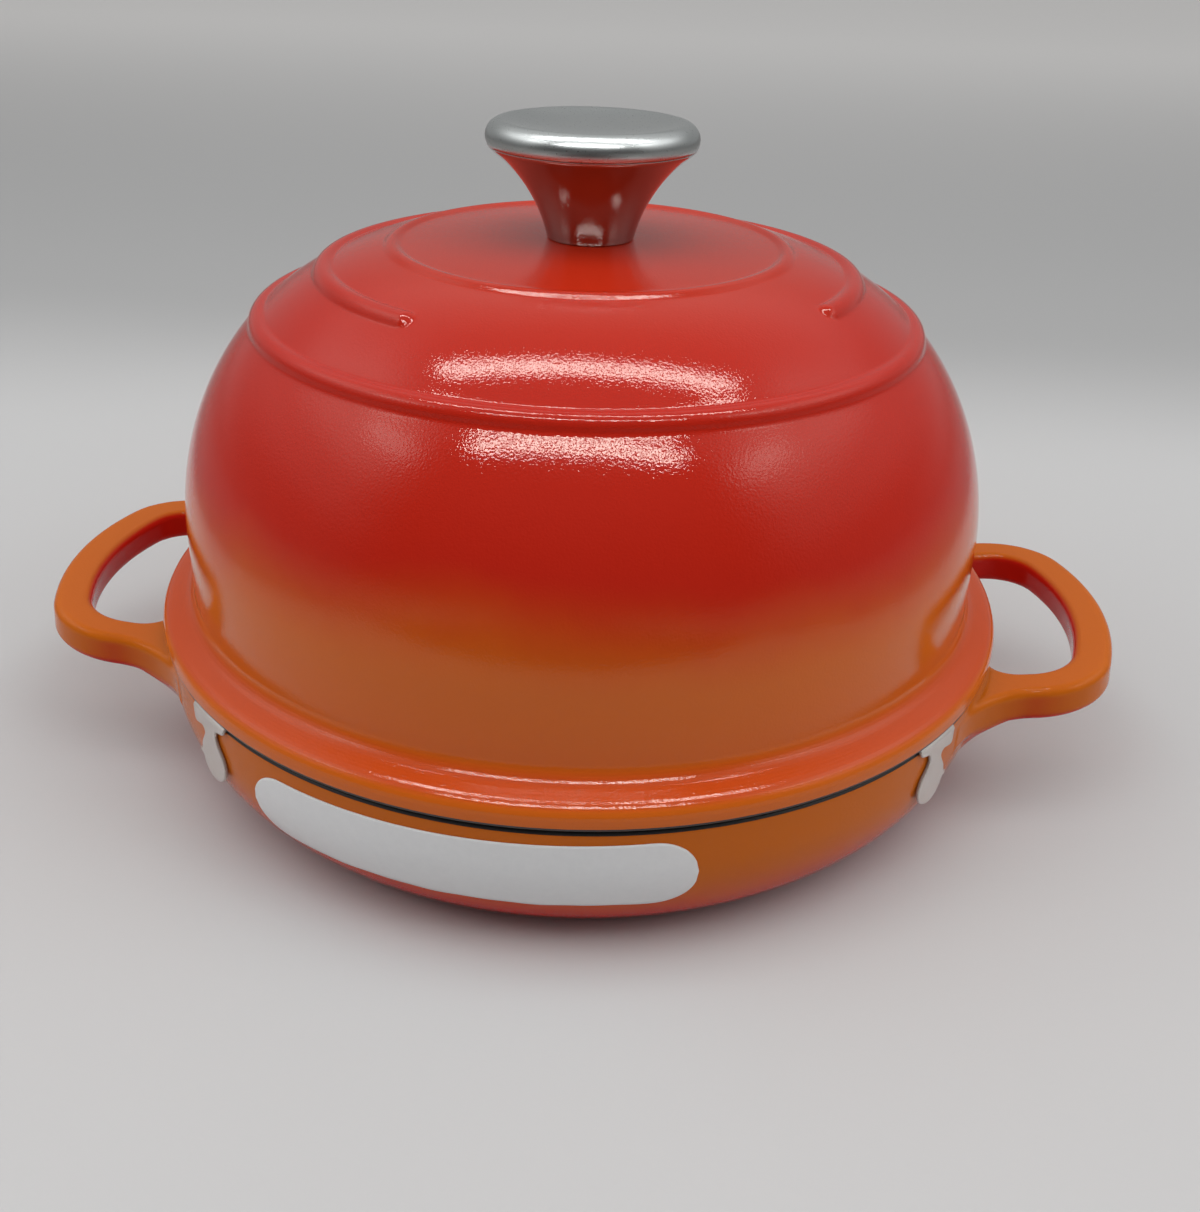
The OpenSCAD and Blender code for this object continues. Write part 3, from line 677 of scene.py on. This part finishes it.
# %% Turn the lid and lift its middle bead
LID_STEP, END_STEP, END_SPAN = math.radians(1.0), math.radians(0.25), math.radians(4.0)
BEAD_EASE, BEAD_REACH_SHARE = 0.32, 1.6

bead_start = LID_TURN - math.pi / 2 + BEAD_GAP / 2
bead_turn = FULL_TURN - BEAD_GAP
bead_line = bead_foot + Vector((0, LID_Z))
crown_c = np.array([CROWN_C[0], CROWN_C[1] + LID_Z])

lid_angles = list(np.arange(0, FULL_TURN - LID_STEP / 2, LID_STEP))
for end in (bead_start, bead_start + bead_turn):
    lid_angles += list(np.arange(end - END_SPAN, end + END_SPAN, END_STEP) % FULL_TURN)
lid_angles = np.unique(np.round(lid_angles, 5))


def lift_bead(x, z, a):
    """Moves the crown's points out along the crown's own radius, near the bead's line."""
    past = (a - bead_start) % FULL_TURN
    beyond = np.where(past > bead_turn, np.minimum(past - bead_turn, FULL_TURN - past), 0.0)
    across = np.hypot(x - bead_line[0], z - bead_line[1])
    d = np.hypot(across, BEAD_X * beyond)
    cap = BEAD_H * (1 - (d / (BEAD_W / 2)) ** 2)
    rise = (cap + np.hypot(cap, BEAD_EASE)) / 2
    rise = rise * stepped(BEAD_REACH_SHARE - d / BEAD_W)
    out_x, out_z = x - crown_c[0], z - crown_c[1]
    size = np.hypot(out_x, out_z)
    return x + rise * out_x / size, z + rise * out_z / size


lid_verts, lid_faces, lid_tags = turned_mesh(
    lid_outline, lid_angles, lid_stretch, closed=True, lift=lift_bead
)
lid = new_piece("enamelled_lid", lid_verts, lid_faces, [lid_enamel, black_lining], lid_tags)
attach(lid, "lid")
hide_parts("dome_lid")

# %% [markdown]
# ## The steel knob
#
# The knob is a pressed stem, mirror polished, with a satin cap rolled over its top. Both are
# turned. The cap's dish was finished on a lathe, so its bump is made of very fine rings round the
# axis, which break a reflection of the lamp into ripples. The stem has no bump at all: its look
# is the lid and the lamp that it mirrors.

# %% Steel materials
LATHE_RINGS = 7000.0


def polished_steel():
    """Mirror steel, very slightly smeared."""
    material, tree, shader = new_material("polished_steel")
    place = object_place(tree)[0]
    shader.inputs["Metallic"].default_value = 1.0
    smear = noise(tree, place, 60.0, 3.0)
    colour = mixed(tree, smear, (0.42, 0.42, 0.42, 1), (0.50, 0.50, 0.50, 1))
    tree.links.new(colour, shader.inputs["Base Color"])
    gloss = maths(tree, "ADD", maths(tree, "MULTIPLY", smear, 0.08), 0.07)
    tree.links.new(gloss, shader.inputs["Roughness"])
    return material


def satin_steel():
    """Lathe-turned steel with very fine rings."""
    material, tree, shader = new_material("satin_steel")
    place, x, y, z = object_place(tree)
    shader.inputs["Metallic"].default_value = 1.0
    wander = maths(tree, "MULTIPLY", noise(tree, place, 90.0, 2.0), 0.0012)
    wavy_radius = maths(tree, "ADD", from_axis(tree, x, y), wander)
    rings = maths(tree, "SINE", maths(tree, "MULTIPLY", wavy_radius, LATHE_RINGS))
    grain = noise(tree, place, 1600.0, 3.0, 0.6)
    height = maths(tree, "ADD", maths(tree, "MULTIPLY", rings, 0.5), grain)
    bumped(tree, shader, height, 0.0000035)
    colour = mixed(tree, noise(tree, place, 45.0, 2.0), (0.50, 0.53, 0.53, 1), (0.60, 0.62, 0.61, 1))
    tree.links.new(colour, shader.inputs["Base Color"])
    gloss = maths(tree, "ADD", maths(tree, "MULTIPLY", grain, 0.10), 0.24)
    tree.links.new(gloss, shader.inputs["Roughness"])
    return material


def machined_steel():
    """Plain zinc-grey fasteners, slightly cloudy and finely scratched."""
    material, tree, shader = new_material("machined_steel")
    place = object_place(tree)[0]
    shader.inputs["Metallic"].default_value = 1.0
    cloud = noise(tree, place, 300.0, 4.0, 0.65)
    colour = mixed(tree, cloud, (0.34, 0.34, 0.35, 1), (0.52, 0.52, 0.52, 1))
    tree.links.new(colour, shader.inputs["Base Color"])
    gloss = maths(tree, "ADD", maths(tree, "MULTIPLY", cloud, 0.25), 0.22)
    tree.links.new(gloss, shader.inputs["Roughness"])
    bumped(tree, shader, cloud, 0.00001)
    return material


# %% Turn the knob
CAP_R, KNOB_H, CAP_ROLL, CAP_DISH, STEM_R = 29.75, 31.8, 4.5, 2.2, 12.4
FLARE_R, STEM_SHEET, CAP_SHEET, CAP_LAP = 40.0, 1.2, 1.6, 3.6
KNOB_STEPS, SOFT_STEM, SOFT_CAP = 192, 0.25, 0.7
INNER_FOOT_TURN, CAP_CORNER, SEAM_DROP_SHARE = 1.5, 1.0, 0.5

roll_c = Vector((CAP_R - CAP_ROLL, SEAT_Z + KNOB_H - CAP_ROLL))
seam_z = roll_c[1] - CAP_ROLL * SEAM_DROP_SHARE
flare_c = meet((STEM_R, SEAT_Z), FLARE_R, roll_c, FLARE_R + CAP_ROLL)
flare_join = angle_at(flare_c, roll_c)
flare_foot = angle_at(flare_c, (STEM_R, SEAT_Z))
seam_turn = -math.degrees(math.asin(SEAM_DROP_SHARE))


def stem_skin(inset, low):
    """The stem's outline from its foot to the seam, drawn in by inset."""
    start = flare_foot if inset == 0 else flare_foot - INNER_FOOT_TURN
    flare = arc(flare_c, FLARE_R + inset, start % 360, flare_join % 360)
    roll = arc(roll_c, CAP_ROLL - inset, (flare_join + 180) % 360 - 360, seam_turn)
    return [(flare[0][0], low)] + flare + roll


stem_outer = stem_skin(0, SEAT_Z)
stem_inner = stem_skin(STEM_SHEET, SEAT_Z + STEM_SHEET)[::-1]
stem_outline = (
    [(HOLE_R, SEAT_Z)] + stem_outer + stem_inner + [(HOLE_R, SEAT_Z + STEM_SHEET)]
)
stem_outline = thinned(glazed(stem_outline, SOFT_STEM), most_gap=1.2) + (0, LID_Z)
stem_verts, stem_faces, _ = turned_mesh(
    stem_outline, even_turn(KNOB_STEPS), [0] * len(stem_outline), closed=True
)
stem = new_piece("knob_stem_mirror", stem_verts, stem_faces, [polished_steel()])
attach(stem, "lid")
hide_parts("knob_stem")

top_z = SEAT_Z + KNOB_H
dish_r = (roll_c[0] ** 2 + CAP_DISH**2) / (2 * CAP_DISH)
dish_c = (0.0, top_z - CAP_DISH + dish_r)
dish_turn = math.degrees(math.asin(roll_c[0] / dish_r))
cap_outside = arc(roll_c, CAP_ROLL, seam_turn, 90) + arc(dish_c, dish_r, -90 + dish_turn, -90)
cap_inside = (
    [(0, top_z - CAP_DISH - CAP_SHEET), (roll_c[0] - CAP_CORNER, top_z - CAP_DISH - CAP_SHEET)]
    + arc(roll_c, CAP_ROLL - CAP_SHEET, 90, seam_turn)
    + [(roll_c[0] + CAP_LAP, seam_z)]
)
cap_top = thinned(glazed(cap_outside, SOFT_CAP), most_gap=0.8)
cap_under = thinned(spaced(cap_inside, OUTLINE_STEP), most_turn=10.0)
cap_under[0][0] = cap_top[-1][0] = 0
cap_loop = np.vstack([cap_under, cap_top]) + (0, LID_Z)
cap_verts, cap_faces, _ = turned_mesh(
    cap_loop, even_turn(KNOB_STEPS), [0] * len(cap_loop), closed=False
)
cap_verts, cap_faces = cleaned(cap_verts, cap_faces)
cap = new_piece("knob_cap_satin", cap_verts, cap_faces, [satin_steel()])
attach(cap, "lid")
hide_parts("knob_cap")

# %% [markdown]
# ## The fasteners
#
# The screw, its two washers and the threaded core are hidden until the lid is lifted. Their
# solids already have the right shape, so they stay and only get a machined steel finish.

# %% Dress the fasteners
fastener_steel = machined_steel()
for node in ("knob_core", "knob_screw", "flat_washer", "spring_washer"):
    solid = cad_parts[node]
    solid.data.materials.clear()
    solid.data.materials.append(fastener_steel)
print("fasteners dressed")

# %% [markdown]
# ## The rim clips
#
# Four frosted plastic clips hook over the rim and keep the two enamelled edges apart. Each is one
# folded sheet: a slanted pad over the rim, a narrow waist, a round lobe with a small tooth, and a
# short tail inside. The fold is a line in the section; the outline is drawn on the sheet. Where the
# two fields meet with rounded edges, a soft moulded part comes out.

# %% Clip plastic
def frosted_plastic():
    """Milky plastic that lets some of the enamel's colour through; its base colour is also a painted
    dark, warm tint of the enamel behind it.
    """
    material, tree, shader = new_material("frosted_plastic")
    place = object_place(tree)[0]
    haze = noise(tree, place, 120.0, 3.0)
    # Painted light: the base colour is darkened and tinted warm, and stands in for the red enamel seen
    # through the clip.
    colour = mixed(tree, haze, (0.45, 0.375, 0.340, 1), (0.53, 0.45, 0.41, 1))
    tree.links.new(colour, shader.inputs["Base Color"])
    shader.inputs["Roughness"].default_value = 0.38
    shader.inputs["Transmission Weight"].default_value = 0.35
    shader.inputs["Subsurface Weight"].default_value = 0.35
    shader.inputs["Subsurface Radius"].default_value = (0.002, 0.0016, 0.0014)
    grain = noise(tree, place, 1400.0, 2.0)
    bumped(tree, shader, grain, 0.00002)
    return material


# %% Shape the clips
CLIP_T, CLIP_W, WAIST_W, LOBE_R, TAIL_L, INNER_TAIL_L = 1.0, 21.0, 6.2, 6.8, 20.0, 10.0
PAD_H, WAIST_FILLET, TOOTH, CLIP_GAP = 6.0, 2.2, 1.5, 0.15
PAD_CUT, PAD_SLANT_SHARE, OVER_RIM, TAIL_SHIFT = 1.3, 0.38, 2.0, 1.8
PAD_CORNER, WAIST_SHORT, WAIST_CORNER, TOOTH_CORNER, TOOTH_FILLET = 1.8, 3.0, 1.0, 0.5, 0.6
CLIP_EDGE, CLIP_BEND, CLIP_SHRINK, CLIP_VOXEL = 0.42, 0.9, 0.02, 0.3
CLIPS = {
    "clip_front_left": (223, -1), "clip_front_right": (323, 1),
    "clip_back_left": (143, 1), "clip_back_right": (43, -1),
}
tail_wall_x = BOWL_C[0] + math.sqrt(inner_r**2 - max(0, INNER_TAIL_L - RIM_BAND) ** 2)
clip_out = RIM_R + CLIP_GAP + CLIP_T / 2
clip_in = tail_wall_x - CLIP_GAP - CLIP_T / 2
clip_top = RIM_Z + CLIP_T / 2


def box_field(x, y, half_x, half_y, r):
    """Distance from a rectangle with round corners, centred."""
    qx, qy = np.abs(x) - half_x + r, np.abs(y) - half_y + r
    return np.hypot(np.maximum(qx, 0), np.maximum(qy, 0)) + np.minimum(np.maximum(qx, qy), 0) - r


def clip_outline(u, v, tooth_side):
    """The clip seen square on; v is height above the rim."""
    slant = np.clip(tooth_side * u / (CLIP_W / 2), -1, 1)
    hang = PAD_H * (1 - PAD_SLANT_SHARE + PAD_SLANT_SHARE * slant)
    pad = box_field(u + tooth_side * PAD_CUT, v + hang / 2 - OVER_RIM, CLIP_W / 2 - PAD_CUT,
                    hang / 2 + OVER_RIM, PAD_CORNER)
    u = u + tooth_side * TAIL_SHIFT
    waist = box_field(u, v + TAIL_L / 2, WAIST_W / 2, TAIL_L / 2 - WAIST_SHORT, WAIST_CORNER)
    lobe_v = v + TAIL_L - LOBE_R
    lobe = np.hypot(u, lobe_v) - LOBE_R
    tooth = box_field(u - tooth_side * LOBE_R, lobe_v + TOOTH / 2, TOOTH, TOOTH / 2, TOOTH_CORNER)
    body = joined_round(joined_round(pad, waist, WAIST_FILLET), lobe, WAIST_FILLET)
    return joined_round(body, tooth, TOOTH_FILLET)


def clip_field(tooth_side):
    """The field of a clip at the front of the turn, with its tooth to one side."""
    def field(x, u, z):
        r = np.hypot(x, u)
        middle, half = (clip_out + clip_in) / 2, (clip_out - clip_in) / 2
        fold = box_field(r - middle, z - clip_top + TAIL_L, half, TAIL_L, CLIP_BEND)
        sheet = np.abs(fold) - CLIP_T / 2
        inner_end = np.where(r < middle, RIM_Z - INNER_TAIL_L - z, -CLIP_T)
        shape = cut_round(sheet, clip_outline(u, z - RIM_Z, tooth_side), CLIP_EDGE)
        return cut_round(shape, np.maximum(inner_end, RIM_Z - TAIL_L - 1 - z), CLIP_EDGE) + CLIP_SHRINK
    return field


clip_plastic = frosted_plastic()
clip_lo = (clip_in - 3, -CLIP_W / 2 - 1, RIM_Z - TAIL_L - 1)
clip_hi = (clip_out + 2, CLIP_W / 2 + 1, RIM_Z + CLIP_T + 1)
clip_meshes = {side: field_mesh(clip_field(side), clip_lo, clip_hi, CLIP_VOXEL) for side in (-1, 1)}
for node, (direction, side) in CLIPS.items():
    points, quads = clip_meshes[side]
    a = math.radians(direction)
    spin = np.array([[math.cos(a), math.sin(a), 0], [-math.sin(a), math.cos(a), 0], [0, 0, 1]])
    clip = new_piece(node + "_frosted", points @ spin, quads.tolist(), [clip_plastic])
    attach(clip, "base")
    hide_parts(node)

# %% [markdown]
# ## The label
#
# A long white label is stuck round the front of the pan, and it is left bare. It could be a flat
# sheet with a shrinkwrap modifier. Here each point of a stadium-shaped grid is set on the bowl at
# its own height, because the wall curves in both ways. Its edges lift and sag very slightly, as
# coated paper does on a curved wall.

# %% Label paper
def coated_paper():
    """White paper with a slight gloss and a trace of its fibres."""
    material, tree, shader = new_material("coated_paper")
    place = object_place(tree)[0]
    fibre = noise(tree, place, 420.0, 4.0, 0.7)
    colour = mixed(tree, fibre, (0.75, 0.75, 0.76, 1), (0.82, 0.82, 0.825, 1))
    tree.links.new(colour, shader.inputs["Base Color"])
    shader.inputs["Roughness"].default_value = 0.32
    bumped(tree, shader, fibre, 0.00002)
    return material


# %% Lay the label on the wall
LABEL_L, LABEL_H, LABEL_T, LABEL_Z = 119.5, 21.0, 0.35, 28.0
LABEL_TURN, LABEL_TILT = math.radians(260), math.radians(0.9)
LABEL_GAP, LABEL_WAVE, LONG_WAVE, SHORT_WAVE, SHORT_SHARE = 0.02, 0.25, 4.3, 2.1, 0.6
EDGE_SHARE, LABEL_RISE, END_SHARE = 0.6, 0.2, 0.35
ACROSS, ALONG = 26, 150


def wall_r(z):
    """Radius of the bowl's outside at a height."""
    below = np.minimum(z - BOWL_C[1], 0)
    return BOWL_C[0] + np.sqrt(BOWL_R**2 - below**2)


def on_wall(s, v, lift):
    """Points at s along and v up the label, lifted off the wall."""
    s, v = (s * math.cos(LABEL_TILT) - v * math.sin(LABEL_TILT),
            s * math.sin(LABEL_TILT) + v * math.cos(LABEL_TILT))
    z = LABEL_Z + v
    lean = np.minimum(z - BOWL_C[1], 0) / BOWL_R
    r = wall_r(z) + lift * np.sqrt(1 - lean**2)
    depth = np.sqrt(r**2 - s**2)
    c, sn = math.cos(LABEL_TURN), math.sin(LABEL_TURN)
    return np.stack([depth * c - s * sn, depth * sn + s * c, z + lift * lean], axis=-1)


cap_half = LABEL_H / 2
s_line = np.linspace(-1, 1, ALONG)
s_line = np.sin(s_line * math.pi / 2) * END_SHARE + s_line * (1 - END_SHARE)
t_line = np.linspace(-1, 1, ACROSS)
s_grid, t_grid = np.meshgrid(s_line * (LABEL_L / 2), t_line, indexing="ij")
round_end = np.clip(np.abs(s_grid) - (LABEL_L / 2 - cap_half), 0, cap_half * 0.9999)
half_here = np.sqrt(cap_half**2 - round_end**2)
ripple = np.sin(s_grid / LONG_WAVE) + SHORT_SHARE * np.sin(s_grid / SHORT_WAVE + 1)
wave = LABEL_WAVE * ripple * stepped(-t_grid)
v_grid = t_grid * half_here + wave * (half_here / cap_half) * EDGE_SHARE + LABEL_RISE
face = on_wall(s_grid, v_grid, LABEL_GAP + LABEL_T).reshape(-1, 3)
back = on_wall(s_grid, v_grid, LABEL_GAP).reshape(-1, 3)
label_verts = np.vstack([face, back])
label_faces = []
offset = ALONG * ACROSS
for i in range(ALONG - 1):
    for j in range(ACROSS - 1):
        a, b = i * ACROSS + j, (i + 1) * ACROSS + j
        label_faces.append([a, b, b + 1, a + 1])
        label_faces.append([offset + v for v in (a + 1, b + 1, b, a)])
rim = ([i * ACROSS for i in range(ALONG)] + [(ALONG - 1) * ACROSS + j for j in range(1, ACROSS)]
       + [i * ACROSS + ACROSS - 1 for i in range(ALONG - 2, -1, -1)]
       + [j for j in range(ACROSS - 2, 0, -1)])
for p, q in zip(rim, rim[1:] + rim[:1]):
    label_faces.append([p, offset + p, offset + q, q])
label = new_piece("blank_label", label_verts, label_faces, [coated_paper()])
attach(label, "base")
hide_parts("front_label")

# %% [markdown]
# ## The floor
#
# The pan stands on a seamless sheet of pale matte paper. It is far larger than the picture shows,
# so that no view sees its edge close by. Its tone drifts a little. Painted shade darkens it behind
# the pan, and a painted paler tone returns far off, standing in for light on a backdrop curving up.

# %% Lay the floor
FLOOR_SIZE = 20.0


def pale_sheet():
    """Pale matte paper with painted shade behind the pan and a painted paler tone far off."""
    material, tree, shader = new_material("pale_sheet")
    place, x, y, z = object_place(tree)
    drift = maths(tree, "MULTIPLY", noise(tree, place, 2.5), 0.08)
    # Painted shade and light: darker behind the pan and paler far off, for the light on a backdrop
    # curving up.
    painted_shade_behind = eased(tree, maths(tree, "ADD", y, drift), 0.26, 0.52)
    tone = mixed(tree, noise(tree, place, 3.0, 3.0), (0.55, 0.55, 0.55, 1), (0.59, 0.59, 0.59, 1))
    painted_backdrop_shading = mixed(tree, eased(tree, y, 0.6, 2.6), (0.42, 0.42, 0.42, 1), (0.75, 0.74, 0.73, 1))
    colour = mixed(tree, painted_shade_behind, tone, painted_backdrop_shading)
    tree.links.new(colour, shader.inputs["Base Color"])
    shader.inputs["Roughness"].default_value = 0.6
    shader.inputs["Specular IOR Level"].default_value = 0.0
    grain = noise(tree, place, 500.0, 3.0)
    bumped(tree, shader, grain, 0.00003)
    return material


def flat_sheet(name, x0, x1, y0, y1, z, material):
    """A level rectangle of the setting, from sizes in metres."""
    corners = [(x0, y0, z), (x1, y0, z), (x1, y1, z), (x0, y1, z)]
    sheet = new_piece(name, np.array(corners) / MM, [[0, 1, 2, 3]], [material])
    return sheet


reach = FLOOR_SIZE / 2
flat_sheet("floor", -reach, reach, -reach, reach, 0.0, pale_sheet())

# %% [markdown]
# ## The lamps
#
# The light is that of a small light tent: a broad, soft lamp above and slightly in front, and a
# weak one at each side. They light the pan but aren't mirrored. Two narrow strips in the tent's
# roof do the opposite: they make the long highlights of the crown and the dome, and light nothing.

# %% Hang the lamps
KEY_POWER, KEY_SIZE, KEY_AT = 12.8, (2.1, 1.2), Vector((0.05, -0.36, 1.5))
FILL_POWER, FILL_SIZE, FILL_AT = 3.0, (1.0, 0.8), (1.5, -0.4, 0.8)
STRIP_SIZE, STRIP_X, STRIP_Z = (0.44, 0.042), 0.005, 0.50
STRIPS = {"strip_top": (-0.024, 17.0), "strip_front": (-0.302, 23.0)}


def area_lamp(name, place, size, power, aim):
    """A soft rectangular lamp at a place, which shines at another."""
    lamp = bpy.data.lights.new(name, "AREA")
    lamp.shape = "RECTANGLE"
    lamp.size, lamp.size_y = size
    lamp.energy = power
    holder = bpy.data.objects.new(name, lamp)
    holder.location = place
    holder.rotation_mode = "QUATERNION"
    holder.rotation_quaternion = (aim - place).to_track_quat("-Z", "Y")
    bpy.context.scene.collection.objects.link(holder)
    return holder


key = area_lamp("key", KEY_AT, KEY_SIZE, KEY_POWER, Vector((0, 0, 0.08)))
key.visible_glossy = False
for name, side in (("fill_left", -1), ("fill_right", 1)):
    place = Vector((side * FILL_AT[0], *FILL_AT[1:]))
    area_lamp(name, place, FILL_SIZE, FILL_POWER, Vector((0, 0, 0))).visible_glossy = False
for name, (y, glow) in STRIPS.items():
    place = Vector((STRIP_X, y, STRIP_Z))
    power = glow * math.pi * STRIP_SIZE[0] * STRIP_SIZE[1]
    strip = area_lamp(name, place, STRIP_SIZE, power, place - Vector((0, 0, 1)))
    strip.visible_diffuse = False

# %% [markdown]
# ## What the enamel mirrors
#
# A glossy dome shows everything round it, so what it mirrors matters as much as what lights it.
# Beyond the pale sheet lies a dark table. It is made of cards that only reflections see, so that
# the floor in the picture can stay pale. The tent itself is in the world, by direction: side walls
# that grow brighter towards the roof, a duller back, a dark opening in front, and a soft bright
# patch in each front corner.

# %% Lay the dark cards
SHEET_SIDE, SHEET_FRONT, CARD_Z = 0.345, -0.335, 0.0005
SIDE_SHADE, FRONT_SHADE = 0.24, 0.03


def dark_card(name, x0, x1, y0, y1, shade):
    """A dark card on the table beyond the pale sheet, which only reflections see."""
    material, tree, shader = new_material(name)
    place = object_place(tree)[0]
    near, far = (shade, shade, shade, 1), (shade * 1.3, shade * 1.25, shade * 1.2, 1)
    tree.links.new(mixed(tree, noise(tree, place, 8.0, 3.0), near, far), shader.inputs["Base Color"])
    shader.inputs["Roughness"].default_value = 0.9
    card = flat_sheet(name, x0, x1, y0, y1, CARD_Z, material)
    for ray in ("camera", "diffuse", "shadow", "transmission", "volume_scatter"):
        setattr(card, "visible_" + ray, False)


dark_card("card_left", -reach, -SHEET_SIDE, -reach, reach, SIDE_SHADE)
dark_card("card_right", SHEET_SIDE, reach, -reach, reach, SIDE_SHADE)
dark_card("card_front", -SHEET_SIDE, SHEET_SIDE, -reach, SHEET_FRONT, FRONT_SHADE)

# %% Tone the room
SIDE_LOW, SIDE_MIDDLE, SIDE_HIGH = 0.18, 0.55, 1.5
BACK_LOW, BACK_HIGH, FRONT_LOW, FRONT_HIGH, ROOF = 0.31, 0.60, 0.05, 0.16, 0.50
PATCH_UP, PATCH_TALL, PATCH_FRONT, PATCH_WIDE = 0.665, (0.075, 0.01), 0.33, (0.27, 0.08)
PATCH_GLOW = 2.8

world = bpy.data.worlds.new("room")
bpy.context.scene.world = world
world.use_nodes = True
room = world.node_tree
direction = add(room, "ShaderNodeTexCoord").outputs["Generated"]
side, ahead_y, up = add(room, "ShaderNodeSeparateXYZ", {0: direction}).outputs
level = maths(room, "SQRT", maths(room, "SUBTRACT", 1.0, maths(room, "MULTIPLY", up, up)))
to_back = maths(room, "DIVIDE", ahead_y, maths(room, "MAXIMUM", level, 0.001))
to_front = maths(room, "MULTIPLY", to_back, -1.0)


def grey(value):
    """A plain grey."""
    return (value, value, value, 1)


side_tone = mixed(room, eased(room, up, 0.10, 0.40), grey(SIDE_LOW), grey(SIDE_MIDDLE))
side_tone = mixed(room, eased(room, up, 0.38, 0.62), side_tone, grey(SIDE_HIGH))
back_tone = mixed(room, eased(room, up, 0.40, 0.62), grey(BACK_LOW), grey(BACK_HIGH))
front_tone = mixed(room, eased(room, up, 0.30, 0.75), grey(FRONT_LOW), grey(FRONT_HIGH))
tone = mixed(room, eased(room, to_back, 0.20, 0.80), side_tone, back_tone)
tone = mixed(room, eased(room, to_front, 0.30, 0.70), tone, front_tone)
tone = mixed(room, eased(room, up, 0.74, 0.88), tone, grey(ROOF))
off_up = maths(room, "ABSOLUTE", maths(room, "SUBTRACT", up, PATCH_UP))
off_front = maths(room, "ABSOLUTE", maths(room, "SUBTRACT", to_front, PATCH_FRONT))
patch = maths(room, "MULTIPLY", eased(room, off_up, *PATCH_TALL), eased(room, off_front, *PATCH_WIDE))
patch = maths(room, "MULTIPLY", patch, noise(room, direction, 14.0, 3.0))
tone = mixed(room, patch, tone, grey(2 * PATCH_GLOW))
room.links.new(tone, room.nodes["Background"].inputs["Color"])
room.nodes["Background"].inputs["Strength"].default_value = 1.0
print("the room's world is", world.name)
